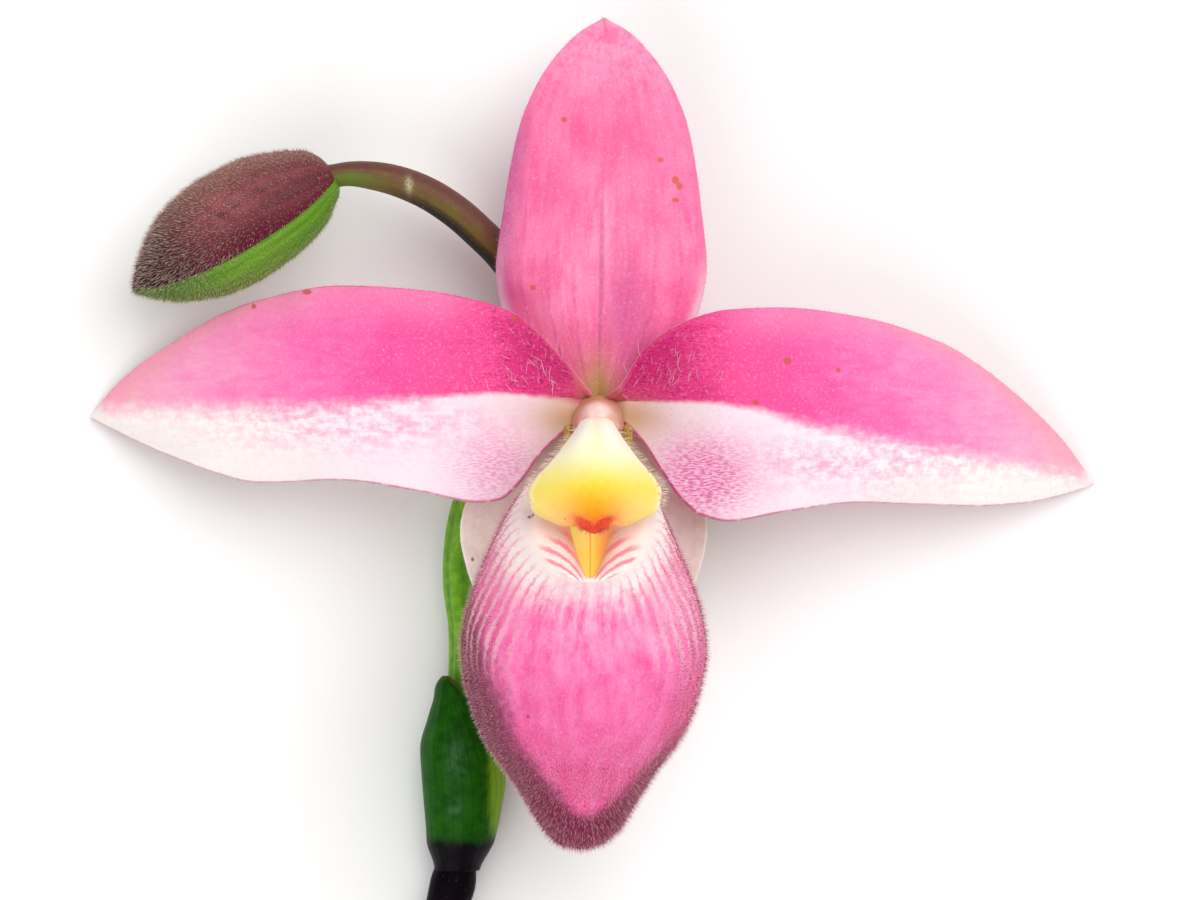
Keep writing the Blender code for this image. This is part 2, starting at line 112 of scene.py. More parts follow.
def marginDistance(grid):
    # distance in mm from each point of a grid to its nearest margin, along the rows and columns
    nearest = np.full(grid.shape[:2], 1e9)
    for axis in (0, 1):
        steps = np.linalg.norm(np.diff(grid, axis=axis), axis=-1)
        start = np.zeros_like(steps.take([0], axis=axis))
        there = np.concatenate([start, np.cumsum(steps, axis=axis)], axis=axis)
        back = there.take([-1], axis=axis) - there
        nearest = np.minimum(nearest, np.minimum(there, back))
    return nearest


def veinsOf(w, swing, height, count):
    # low ribs along an organ that die away at its margins and ends
    return height * np.cos(np.pi * count * w) * swing * (1 - w ** 2)


def swingOf(s):
    # 0 at both ends of an organ and 1 halfway along it
    return np.sin(np.pi * np.clip(s, 0.0, 1.0))


def nearMargin(edge, reach):
    return np.clip(np.exp(-edge / reach) * 1.2, 0, 1)


def gridFaces(number):
    # one quad for every four neighbouring points of a grid of point numbers
    corners = [number[:-1, :-1], number[1:, :-1], number[1:, 1:], number[:-1, 1:]]
    return np.stack(corners, axis=-1).reshape(-1, 4)


def addObject(name, data):
    made = bpy.data.objects.new(name, data)
    bpy.context.scene.collection.objects.link(made)
    return made


def keep(mesh, key, data):
    # a number or a direction kept on every point of a mesh
    data = np.asarray(data, np.float32)
    kind, field = ("FLOAT_VECTOR", "vector") if data.ndim == 2 else ("FLOAT", "value")
    mesh.attributes.new(key, kind, "POINT").data.foreach_set(field, data.ravel())


def makeObject(name, points, faces, values, material):
    # welds doubled points, drops collapsed faces and turns the surface outwards
    _, first, index = np.unique(
        np.round(points / weld).astype(np.int64), axis=0, return_index=True, return_inverse=True
    )
    index = index.reshape(-1)
    kept = []
    for face in index[faces].tolist():
        ring = [v for k, v in enumerate(face) if v != face[k - 1]]
        if len(set(ring)) > 2:
            kept.append(ring)
    placed = (points[first] + flowerAt) * mm
    volume = 0.0
    for ring in kept:
        volume += float(np.dot(placed[ring[0]], np.cross(placed[ring[1]], placed[ring[2]])))
        if len(ring) > 3:
            volume += float(np.dot(placed[ring[0]], np.cross(placed[ring[2]], placed[ring[3]])))
    if volume < 0:
        kept = [ring[::-1] for ring in kept]
    mesh = bpy.data.meshes.new(name)
    mesh.from_pydata(placed.tolist(), [], kept)
    for key, data in values.items():
        keep(mesh, key, np.asarray(data)[first])
    mesh.shade_smooth()
    mesh.materials.append(material)
    return addObject(name, mesh)


def shell(name, outer, inner, values, material):
    # two grids joined along their four margins; front is 1 on the outer one
    rows, columns = outer.shape[:2]
    number = np.arange(rows * columns).reshape(rows, columns)
    back = number + rows * columns

    def strips(a, b):
        return np.stack([a[:-1], a[1:], b[1:], b[:-1]], axis=-1)

    quads = [
        gridFaces(number),
        gridFaces(back)[:, ::-1],
        strips(back[0], number[0]),
        strips(number[-1], back[-1]),
        strips(number[:, 0], back[:, 0]),
        strips(back[:, -1], number[:, -1]),
    ]
    faces = np.concatenate(quads)
    points = np.concatenate([outer.reshape(-1, 3), inner.reshape(-1, 3)])
    doubled = {"front": np.repeat([1.0, 0.0], rows * columns)}
    for key, data in values.items():
        flat = np.asarray(data, float).reshape(rows * columns, -1)
        both = np.concatenate([flat, flat])
        doubled[key] = both if both.shape[1] == 3 else both[:, 0]
    return makeObject(name, points, faces, doubled, material)


def spread(count, ends=0.8):
    # even steps from 0 to 1 that close up towards both ends
    u = np.linspace(0.0, 1.0, count)
    return u - ends * np.sin(2 * np.pi * u) / (2 * np.pi)


def leafGrid(counts, start=0.0):
    s = start + (1 - start) * spread(counts[0])
    w = 2 * spread(counts[1], 0.9) - 1
    return np.meshgrid(s, w, indexing="ij")


def leaf(name, middle, thick, values, material, up=1.0):
    # a thin organ about its middle surface, with a rounded margin; up tells which side is the front
    normals = gridNormals(middle) * up
    distance = marginDistance(middle)
    half = np.broadcast_to(np.asarray(thick) / 2, distance.shape)
    share = np.clip(distance / half, 0.0, 1.0)
    lift = (half * np.sqrt(1 - (1 - share) ** 2))[..., None] * normals
    comb = unit(np.gradient(middle, axis=0))
    known = {"edge": distance, "comb": comb, "hairSize": np.ones_like(distance), **values}
    return shell(name, middle + lift, middle - lift, known, material)


def tone(red, green, blue):
    # a colour as a screen shows it, 0 to 255, made linear
    linear = []
    for part in (red, green, blue):
        part /= 255
        linear.append(part / 12.92 if part <= 0.04045 else ((part + 0.055) / 1.055) ** 2.4)
    return (*linear, 1.0)


class Wire:
    # one socket of a material; sums on it add Math nodes
    def __init__(self, finish, socket):
        self.finish = finish
        self.socket = socket

    def math(self, operation, first, second):
        return self.finish.node("ShaderNodeMath", {"operation": operation}, {0: first, 1: second})

    def __add__(self, other):
        return self.math("ADD", self, other)

    def __radd__(self, other):
        return self.math("ADD", other, self)

    def __sub__(self, other):
        return self.math("SUBTRACT", self, other)

    def __rsub__(self, other):
        return self.math("SUBTRACT", other, self)

    def __mul__(self, other):
        return self.math("MULTIPLY", self, other)

    def __rmul__(self, other):
        return self.math("MULTIPLY", other, self)

    def __truediv__(self, other):
        return self.math("DIVIDE", self, other)


class Finish:
    # a material and the few ways in which this script adds nodes to it
    def __init__(self, name, **fixed):
        self.material = bpy.data.materials.new(name)
        self.material.use_nodes = True
        self.nodes = self.material.node_tree.nodes
        self.links = self.material.node_tree.links
        self.shader = self.nodes["Principled BSDF"]
        for socket, value in fixed.items():
            self.shader.inputs[socket.replace("_", " ")].default_value = value
        place = self.node("ShaderNodeTexCoord", output="Object")
        self.place = self.node(
            "ShaderNodeVectorMath", {"operation": "SCALE"}, {0: place, "Scale": 1 / mm}, "Vector"
        )

    def node(self, kind, settings=None, inputs=None, output=0):
        made = self.nodes.new(kind)
        for key, value in (settings or {}).items():
            if key == "stops":
                self.setStops(made.color_ramp, value)
            else:
                setattr(made, key, value)
        for key, value in (inputs or {}).items():
            self.plug(value, made.inputs[key])
        return Wire(self, made.outputs[output])

    def setStops(self, ramp, stops):
        while len(ramp.elements) < len(stops):
            ramp.elements.new(1.0)
        for element, (position, colour) in zip(ramp.elements, stops):
            element.position = position
            element.color = tone(*colour)

    def plug(self, value, socket):
        # three numbers are a colour, as tone takes it
        if isinstance(value, Wire):
            self.links.new(value.socket, socket)
        else:
            socket.default_value = tone(*value) if isinstance(value, tuple) else value

    def value(self, name):
        return self.node("ShaderNodeAttribute", {"attribute_name": name}, output="Fac")

    def axis(self, letter):
        return self.node("ShaderNodeSeparateXYZ", {}, {0: self.place}, letter)

    def noise(self, scale, detail=2.0, roughness=0.5, at=None):
        return self.node(
            "ShaderNodeTexNoise",
            {},
            {"Vector": at or self.place, "Scale": scale, "Detail": detail, "Roughness": roughness},
        )

    def cells(self, scale):
        # distance to the nearest of a scatter of points
        return self.node("ShaderNodeTexVoronoi", {}, {"Vector": self.place, "Scale": scale})

    def step(self, value, low, high):
        # 0 below low, 1 above high and smooth between; low above high turns it round
        return self.node(
            "ShaderNodeMapRange",
            {"interpolation_type": "SMOOTHSTEP"},
            {"Value": value, "From Min": low, "From Max": high},
        )

    def wave(self, value):
        return self.node("ShaderNodeMath", {"operation": "COSINE"}, {0: value})

    def along(self, x, y, z=0.0):
        return self.node("ShaderNodeCombineXYZ", {}, {0: x, 1: y, 2: z})

    def mix(self, factor, first, second, blend="MIX"):
        return self.node(
            "ShaderNodeMix", {"data_type": "RGBA", "blend_type": blend}, {0: factor, 6: first, 7: second}, 2
        )

    def specks(self, places, softness=0.6):
        # 1 inside each of a few small ovals: (x, y, half width, half height) in mm
        total = 0.0
        for x, y, wide, high in places:
            dx = (self.axis("X") - (x + flowerAt[0])) / wide
            dy = (self.axis("Y") - (y + flowerAt[1])) / high
            total = self.step(dx * dx + dy * dy, 1.0 + softness, 1.0 - softness) + total
        return total

    def grained(self, colour, grain, light, dark, sparks=0.32):
        # a crystalline grain: paler sparks and darker pits
        colour = self.mix(self.step(grain, 0.52, 0.78) * sparks, colour, light)
        return self.mix(self.step(grain, 0.46, 0.26) * 0.3, colour, dark, "MULTIPLY")

    def over(self, back, colour):
        # one colour on the front of a piece and another on its back
        return self.mix(self.step(self.value("front"), 0.25, 0.75), back, colour)

    def ramp(self, value, stops):
        return self.node("ShaderNodeValToRGB", {"stops": stops}, {"Fac": value})

    def finish(self, colour, roughness=None, height=None, depth=0.02, strength=1.0):
        # depth is the bump's height in mm
        self.plug(colour, self.shader.inputs["Base Color"])
        if roughness is not None:
            self.plug(roughness, self.shader.inputs["Roughness"])
        if height is not None:
            bump = self.node(
                "ShaderNodeBump", {}, {"Strength": strength, "Distance": depth * mm, "Height": height}
            )
            self.plug(bump, self.shader.inputs["Normal"])
        return self.material


flesh = {
    "Subsurface_Weight": 0.3,
    "Subsurface_Scale": 0.0005,
    "Subsurface_Radius": (1.0, 0.5, 0.6),
    "Specular_IOR_Level": 0.2,
    "Sheen_Weight": 0.05,
    "Sheen_Roughness": 0.4,
}
creamFlesh = {"Subsurface_Weight": 0.3, "Subsurface_Scale": 0.0006}
greenFlesh = {"Subsurface_Weight": 0.1, "Subsurface_Scale": 0.0005, "Specular_IOR_Level": 0.2}


hairSides = 3
hairKinds = {
    # hairs per mm2, the least gap, length, girth and bend in mm, then how far they lie down and stray
    "pouch": {"perMm2": 28.0, "apart": 0.1, "length": 0.58, "girth": 0.025, "bend": 0.0,
              "comb": 0.12, "stray": 0.3, "joints": 1},
    "budPlum": {"perMm2": 48.0, "apart": 0.09, "length": 0.55, "girth": 0.03, "bend": 0.0,
                "comb": 0.45, "stray": 0.35, "joints": 1},
    "budGreen": {"perMm2": 45.0, "apart": 0.09, "length": 0.5, "girth": 0.026, "bend": 0.0,
                 "comb": 0.45, "stray": 0.35, "joints": 1},
    "fuzz": {"perMm2": 22.0, "apart": 0.1, "length": 0.26, "girth": 0.014, "bend": 0.05,
             "comb": 0.2, "stray": 0.4, "joints": 1},
    "velvet": {"perMm2": 2.2, "apart": 0.3, "length": 0.2, "girth": 0.011, "bend": 0.05,
               "comb": 0.3, "stray": 0.5, "joints": 1},
    "whiskers": {"perMm2": 3.4, "apart": 0.28, "length": 1.6, "girth": 0.032, "bend": 0.3,
                 "comb": 1.3, "stray": 0.6, "joints": 4},
    "lashes": {"perMm2": 34.0, "apart": 0.1, "length": 0.8, "girth": 0.03, "bend": 0.1,
               "comb": 1.5, "stray": 0.5, "joints": 2},
    "beard": {"perMm2": 34.0, "apart": 0.09, "length": 0.5, "girth": 0.024, "bend": 0.08,
              "comb": 0.0, "stray": 0.5, "joints": 2},
}


class Tree:
    # a geometry node group with named inputs and the few ways in which this script adds nodes to it
    def __init__(self, name, inputs, result):
        self.group = bpy.data.node_groups.new(name, "GeometryNodeTree")
        self.sockets = {}
        for key, kind, value in inputs:
            socket = self.group.interface.new_socket(key, in_out="INPUT", socket_type="NodeSocket" + kind)
            if value is not None:
                socket.default_value = value
            self.sockets[key] = socket.identifier
        self.group.interface.new_socket(result, in_out="OUTPUT", socket_type="NodeSocketGeometry")
        self.given = self.group.nodes.new("NodeGroupInput").outputs

    def node(self, kind, settings=None, inputs=None, output=0):
        made = self.group.nodes.new(kind)
        for key, value in (settings or {}).items():
            setattr(made, key, value)
        for key, value in (inputs or {}).items():
            if isinstance(value, bpy.types.NodeSocket):
                self.group.links.new(value, made.inputs[key])
            else:
                made.inputs[key].default_value = value
        return made.outputs[output]

    def maths(self, operation, first, second=0.0):
        return self.node("ShaderNodeMath", {"operation": operation}, {0: first, 1: second})

    def scaled(self, vector, share):
        return self.node("ShaderNodeVectorMath", {"operation": "SCALE"}, {0: vector, "Scale": share})

    def summed(self, first, second):
        return self.node("ShaderNodeVectorMath", {"operation": "ADD"}, {0: first, 1: second})

    def kept(self, name, kind="FLOAT"):
        # what is kept on the points under this name
        return self.node("GeometryNodeInputNamedAttribute", {"data_type": kind}, {"Name": name})

    def store(self, geometry, name, value):
        return self.node(
            "GeometryNodeStoreNamedAttribute",
            {"data_type": "FLOAT", "domain": "POINT"},
            {"Geometry": geometry, "Name": name, "Value": value},
        )

    def moved(self, geometry, offset):
        return self.node("GeometryNodeSetPosition", None, {"Geometry": geometry, "Offset": offset})

    def random(self, low, high):
        # the node's sockets for a direction come before those for a number
        direction = isinstance(low, tuple)
        first = 0 if direction else 2
        return self.node(
            "FunctionNodeRandomValue",
            {"data_type": "FLOAT_VECTOR" if direction else "FLOAT"},
            {first: low, first + 1: high, "Seed": self.given["Seed"]},
            first // 2,
        )

    def finish(self, geometry):
        real = self.node("GeometryNodeRealizeInstances", None, {"Geometry": geometry})
        smooth = self.node("GeometryNodeSetShadeSmooth", None, {"Geometry": real})
        painted = self.node(
            "GeometryNodeSetMaterial", None, {"Geometry": smooth, "Material": self.given["Finish"]}
        )
        out = self.group.nodes.new("NodeGroupOutput")
        self.group.links.new(painted, out.inputs[0])
        return self

    def grow(self, name, mesh, given):
        # the plain result of this group on a mesh, as a piece of its own
        holder = addObject(name + "Holder", mesh)
        modifier = holder.modifiers.new(name, "NODES")
        modifier.node_group = self.group
        for key, value in given.items():
            modifier[self.sockets[key]] = value
        bpy.context.view_layer.update()
        graph = bpy.context.evaluated_depsgraph_get()
        grown = bpy.data.meshes.new_from_object(holder.evaluated_get(graph))
        bpy.data.objects.remove(holder)
        grown.name = name
        return addObject(name, grown)


def makeHairTree():
    # scatters tapered, bent hairs over a skin where its field attribute says so
    tree = Tree("growHairs", (
        ("Skin", "Geometry", None), ("Field", "String", ""), ("Per mm2", "Float", 5.0),
        ("Apart", "Float", 0.0001), ("Length", "Float", 0.0005), ("Girth", "Float", 0.00002),
        ("Bend", "Float", 0.0001), ("Comb", "Float", 0.3), ("Spread", "Float", 0.3), ("Seed", "Int", 1),
        ("Joints", "Int", 2), ("Finish", "Material", None),
    ), "Hairs")
    given = tree.given
    points = tree.node(
        "GeometryNodeDistributePointsOnFaces",
        {"distribute_method": "POISSON"},
        {
            "Mesh": given["Skin"],
            "Distance Min": given["Apart"],
            "Density Max": tree.maths("MULTIPLY", given["Per mm2"], 1e6),
            "Density Factor": tree.kept(given["Field"]),
            "Seed": given["Seed"],
        },
    )

    # one hair, a metre long and scaled down as it is placed
    cone = tree.node(
        "GeometryNodeMeshCone",
        {"fill_type": "NGON"},
        {
            "Vertices": hairSides, "Side Segments": given["Joints"], "Radius Top": 0.0,
            "Radius Bottom": given["Girth"], "Depth": 1.0,
        },
    )
    height = tree.node("ShaderNodeSeparateXYZ", None, {0: tree.node("GeometryNodeInputPosition")}, 2)
    sideways = tree.maths("MULTIPLY", tree.maths("MULTIPLY", height, height), given["Bend"])
    offset = tree.node("ShaderNodeCombineXYZ", None, {0: sideways})
    hair = tree.moved(tree.store(cone, "hairAlong", height), offset)

    # it stands up, leans with the comb and strays a little
    comb = tree.scaled(tree.kept("comb", "FLOAT_VECTOR"), given["Comb"])
    stray = tree.scaled(tree.random((-1.0, -1.0, -1.0), (1.0, 1.0, 1.0)), given["Spread"])
    lean = tree.summed(tree.summed(points.node.outputs["Normal"], comb), stray)
    aligned = tree.node("FunctionNodeAlignRotationToVector", {"axis": "Z"}, {"Vector": lean})
    euler = tree.node("ShaderNodeCombineXYZ", None, {2: tree.random(0.0, 6.2832)})
    spin = tree.node("FunctionNodeEulerToRotation", None, {0: euler})
    turned = tree.node(
        "FunctionNodeRotateRotation", {"rotation_space": "LOCAL"}, {"Rotation": aligned, "Rotate By": spin}
    )
    share = tree.maths("MULTIPLY", tree.kept("hairSize"), tree.random(0.6, 1.15))
    long = tree.maths("MULTIPLY", share, given["Length"])
    scale = tree.node("ShaderNodeCombineXYZ", None, {0: share, 1: share, 2: long})
    return tree.finish(tree.node(
        "GeometryNodeInstanceOnPoints",
        None,
        {"Points": points, "Instance": hair, "Rotation": turned, "Scale": scale},
    ))


hairTree = makeHairTree()


def growHairs(name, skin, field, material, kind, seed):
    hair = hairKinds[kind]
    piece = hairTree.grow(name, skin.data, {
        "Field": field, "Per mm2": hair["perMm2"], "Apart": hair["apart"] * mm,
        "Length": hair["length"] * mm, "Girth": hair["girth"] * mm, "Bend": hair["bend"] * mm,
        "Comb": hair["comb"], "Spread": hair["stray"], "Seed": seed, "Joints": hair["joints"],
        "Finish": material,
    })
    print(f"  {name}: {len(piece.data.polygons)} faces")
    return piece


def hairFinish(name, root, tip):
    hair = Finish(name, Specular_IOR_Level=0.35, Roughness=0.5)
    patchy = hair.noise(1.3, 2.0)
    grade = hair.step(hair.value("hairAlong") + (patchy - 0.5) * 0.5, 0.1, 0.9)
    return hair.finish(hair.mix(grade, root, tip), hair.noise(4.0) * 0.2 + 0.4)


def ride(piece, slot, *nodes):
    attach(piece, body)
    if nodes:
        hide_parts(*nodes)
    return piece


petal = {
    "left": (
        (0.5, 0.3, 0.1, -1.6), (1.7, 1.9, 0.2, -1.9), (3.1, 3.5, 0.3, -2.9), (4.7, 5.2, 0.5, -4.5),
        (6.3, 6.6, 0.5, -6.7),
        (7.9, 7.4, 0.5, -8.0), (9.5, 7.9, 0.4, -8.2), (14.3, 8.8, 0.1, -7.3), (20.8, 9.2, -0.4, -6.4),
        (27.4, 8.1, -0.6, -6.6), (30.7, 6.9, -0.7, -5.9), (34.1, 5.0, -0.8, -4.7),
        (37.5, 2.9, -0.9, -3.3), (40.0, 0.7, -1.1, -2.1), (41.6, -1.3, -1.3, -1.3),
    ),
    "right": (
        (0.5, 0.1, 0.0, -1.5), (1.7, 1.0, 0.0, -1.7), (3.4, 3.6, -0.1, -3.2), (5.0, 5.1, -0.1, -5.6),
        (6.6, 6.0, -0.1, -7.9), (8.2, 6.7, -0.2, -9.2), (10.4, 7.2, -0.5, -9.7), (14.6, 7.4, -1.3, -9.0),
        (21.0, 6.7, -2.7, -8.2),
        (27.7, 4.7, -4.0, -8.4), (31.0, 2.8, -4.8, -8.5), (34.4, 0.2, -5.5, -8.3),
        (37.8, -3.0, -6.2, -7.7), (40.7, -6.8, -6.8, -6.8),
    ),
    # where pink gives way to white: (distance out, height) in mm
    "leftBlush": (
        (0.0, -0.6), (1.4, -0.4), (7.8, 0.55), (12.6, 0.25), (15.8, 0.0), (23.9, -0.6), (32.3, -0.6),
        (41.0, -0.7),
    ),
    "rightBlush": (
        (0.0, -0.4), (3.4, -0.15), (8.3, -0.15), (12.9, -0.8), (16.1, -1.8), (21.0, -2.8),
        (24.3, -3.6), (29.2, -4.4), (32.7, -5.0), (37.8, -6.0), (41.0, -6.5),
    ),
    "base": 2.4,
    "tuck": -0.03,  # share of the length by which the base runs in to the column
    "rise": (
        (0.0, 11.3), (0.12, 11.8), (0.28, 12.0), (0.45, 11.1), (0.6, 9.2), (0.75, 6.4), (0.88, 3.4),
        (1.0, 0.3),
    ),
    "camber": ((0.0, 0.9), (0.12, 1.5), (0.3, 0.1), (0.5, -1.3), (0.8, -1.1), (0.95, -0.3), (1.0, 0.0)),
    "wave": 0.35,
    "waves": 2.6,
    "ripple": 0.1,
    "ripples": 7.3,
    "veinHeight": 0.028,
    "veins": 9,
    "crease": 0.28,
    "dip": 1.6,
    "thick": 0.62,
    "counts": (190, 84),
}


def petalFinish(side, specks):
    skin = Finish("petalSkin" + side, **flesh)
    x, y = skin.axis("X"), skin.axis("Y")
    blush = skin.value("blush")
    edge = skin.value("edge")
    along = skin.value("along")
    across = skin.value("across")
    grain = skin.noise(4.5, 3.0, 0.7)
    fine = skin.noise(1.5, 5.0, 0.65)
    broad = skin.noise(0.3, 3.0, 0.6)
    streaks = skin.noise(1.0, 4.0, 0.6, skin.along(x * 0.5, y * 1.8))
    dashes = skin.noise(1.0, 2.0, 0.5, skin.along(x * 2.1, y * 7.5, 5.0))

    # pink upper half, deepest beside the column and paler out along the petal
    pink = skin.ramp(along + (broad - 0.5) * 0.34 + (streaks - 0.5) * 0.3, (
        (0.0, (216, 54, 126)), (0.1, (230, 58, 136)), (0.21, (246, 82, 154)),
        (0.36, (251, 84, 160)), (0.54, (252, 114, 182)), (0.75, (252, 154, 198)),
        (1.0, (253, 188, 210)),
    ))
    pink = skin.mix(skin.value("pale") * 0.5, pink, (252, 156, 194))
    # deep magenta beside the column: partly the petal's own deeper colour, partly painted shade in the hollow
    # of its curled base
    pink = skin.mix(skin.value("deep") * 0.75, pink, (204, 22, 110))
    warm = skin.step(skin.value("warm") + (fine - 0.5) * 0.5, 0.3, 0.95)
    pink = skin.mix(warm * 0.45, pink, (250, 154, 160))

    # white lower half, greyer near the column and cream beyond, with a pink bloom on the lobe
    white = skin.ramp(along + (broad - 0.5) * 0.1, (
        (0.0, (224, 194, 188)), (0.08, (232, 210, 214)), (0.2, (244, 226, 234)),
        (0.42, (251, 233, 239)), (0.7, (252, 245, 240)), (1.0, (252, 243, 238)),
    ))
    bloom = skin.value("lobe") * skin.step(dashes * 0.9 + fine * 0.2, 0.46, 0.66)
    white = skin.mix(skin.value("lobe") * 0.6, white, (238, 158, 202))
    white = skin.mix(bloom * 0.9, white, (212, 78, 150))
    haze = skin.value("haze") * skin.step(fine * 0.6 + streaks * 0.5, 0.44, 0.7)
    white = skin.mix(haze * 0.85, white, (248, 160, 200))

    ragged = blush + (fine - 0.5) * 1.3 + (streaks - 0.5) * 1.1 + (grain - 0.5) * 0.5
    colour = skin.mix(skin.step(ragged, -0.85, 0.75), white, pink)

    # dark strokes on the velvet, a crystalline grain and a few blemishes
    strokes = skin.step(dashes, 0.54, 0.62) * skin.value("speckled")
    colour = skin.mix(strokes * 0.8, colour, (158, 14, 92))
    colour = skin.grained(colour, grain, (255, 214, 230), (236, 196, 216), 0.34)
    # painted shade beside the column, over the petal's own tan base
    colour = skin.mix(skin.value("heel"), colour, (200, 158, 118))
    colour = skin.mix(skin.value("root") * 0.8, colour, (226, 134, 140))
    rim = skin.step(edge, 0.24, 0.06) * skin.step(across, -0.5, -0.9) * skin.step(fine, 0.3, 0.5)
    colour = skin.mix(rim * 0.75, colour, (196, 62, 128))
    topRim = skin.step(edge, 0.2, 0.05) * skin.step(across, 0.5, 0.9) * skin.step(fine, 0.4, 0.6)
    colour = skin.mix(topRim * 0.5, colour, (204, 84, 112))
    colour = skin.mix(skin.value("tip"), colour, (250, 236, 232))
    colour = skin.mix(skin.specks(specks) * 0.8, colour, (196, 92, 52))

    # the back is paler, with its veins showing
    veins = skin.wave(across * 34.0 + (fine - 0.5) * 2.5)
    back = skin.mix(skin.step(veins, 0.55, 1.0) * 0.5, (240, 158, 192), (214, 98, 152))
    back = skin.mix(skin.step(blush, 1.5, -1.5) * 0.8, back, (240, 214, 210))
    back = skin.mix(skin.step(along, 0.14, 0.0) * 0.7, back, (204, 128, 132))
    colour = skin.over(back, colour)
    height = grain * 0.6 + skin.cells(6.0) * 0.4 + streaks * 0.5
    return skin.finish(colour, grain * 0.15 + 0.5, height, 0.04, 0.7)


def petalSurface(rows, side, s, w):
    upper = curveThrough(rows, 1)
    rib = curveThrough(rows, 2)
    lower = curveThrough(rows, 3)
    reach = rows[-1][0]
    base = petal["base"] - (petal["base"] - rows[1][0]) * np.maximum(w, 0.0)
    out = base + s * (reach - base)
    margin = np.where(w > 0, upper(out), lower(out))
    y = rib(out) + np.abs(w) * (margin - rib(out))
    swing = swingOf(s)
    wave = petal["wave"] * np.sin(2 * np.pi * petal["waves"] * s + 1.0) * w ** 2 * swing
    ripple = petal["ripple"] * np.sin(2 * np.pi * petal["ripples"] * s + 2.0 * w) * np.abs(w) ** 3 * swing
    crease = petal["crease"] * (1 - s) * ridge(w)
    veins = veinsOf(w, swing, petal["veinHeight"], petal["veins"])
    dip = petal["dip"] * np.clip(s / petal["tuck"], 0.0, 1.0) ** 1.5
    z = curveThrough(petal["rise"])(s) + curveThrough(petal["camber"])(s) * w ** 2
    z = z + wave + ripple - crease + veins - dip
    return out, y, np.stack([side * out, y, z], axis=-1)


def makePetal(name, rows, blushRows, side, lobeAt, bloom, hazeAt, deepAt, node, material):
    s, w = leafGrid(petal["counts"], petal["tuck"])
    out, y, middle = petalSurface(rows, side, s, w)
    blush = (y - curveThrough(blushRows)(out)) / (0.35 + 1.05 * softStep(out, 8.0, 24.0))
    edge = marginDistance(middle)
    upperEdge = np.exp(-edge / 1.6) * (w > 0)
    lying = unit(np.gradient(middle, axis=1)) + 0.5 * unit(np.gradient(middle, axis=0))
    whiskers = spot(out, y, (deepAt[0] + 1.0, deepAt[1] - 1.6), (2.7, 1.7)) * (blush > 0)
    values = {
        "along": s,
        "across": w,
        "blush": blush,
        "deep": np.clip(1.15 * spot(out, y, (deepAt[0] - 0.4, deepAt[1] + 0.3), (3.4, 3.0)), 0, 1),
        "pale": softStep(w, 0.55, 1.0) * softStep(out, 8.0, 14.0),
        "warm": upperEdge * softStep(out, 10.0, 28.0) + 0.5 * softStep(out, 30.0, 38.0),
        "lobe": np.clip(bloom * spot(out, y, lobeAt, (3.5, 2.9)), 0, 1),
        "haze": spot(out, y, hazeAt, (12.0, 2.1)),
        "speckled": softStep(blush, 0.0, 1.0) * softStep(out, 13.0, 4.0),
        "heel": spot(out, y, (2.4, -1.5), (2.6, 1.4)) * 0.95,
        "root": softStep(out, 2.3, 1.2) * softStep(y, -0.5, 0.5),
        "tip": softStep(s, 0.962, 0.995),
        "fuzz": nearMargin(edge, 0.25) * softStep(s, 0.0, 0.05),
        "whiskers": np.clip(whiskers, 0, 1),
        "comb": unit(lying),
        "velvet": softStep(s, 0.02, 0.06) * (0.35 + 0.65 * softStep(out, 16.0, 5.0)),
    }
    thick = petal["thick"] * (1 - 0.35 * w ** 2)
    piece = leaf(name, middle, thick, values, material, up=side)
    return ride(piece, "petal_rose", node)


dorsal = {
    "base": -0.55,
    "length": 31.2,
    "width": (
        (0.0, 1.6), (0.03, 2.6), (0.09, 4.6), (0.17, 6.7), (0.25, 7.9), (0.35, 8.45), (0.51, 7.9),
        (0.62, 7.4), (0.73, 6.65), (0.81, 5.65), (0.86, 4.8), (0.915, 3.5), (0.96, 2.1), (1.0, 0.0),
    ),
    "rise": ((0.0, 9.35), (0.1, 9.7), (0.25, 10.7), (0.5, 11.7), (0.75, 11.5), (1.0, 9.8)),
    "roll": ((0.0, 0.2), (0.2, 1.2), (0.4, 2.0), (0.7, 1.5), (1.0, 0.0)),
    "lean": 0.5,
    "groove": 0.3,
    "veinHeight": 0.03,
    "veins": 8,
    "ripple": 0.09,
    "ripples": 4.2,
    "thick": 0.62,
    "counts": (170, 84),
}


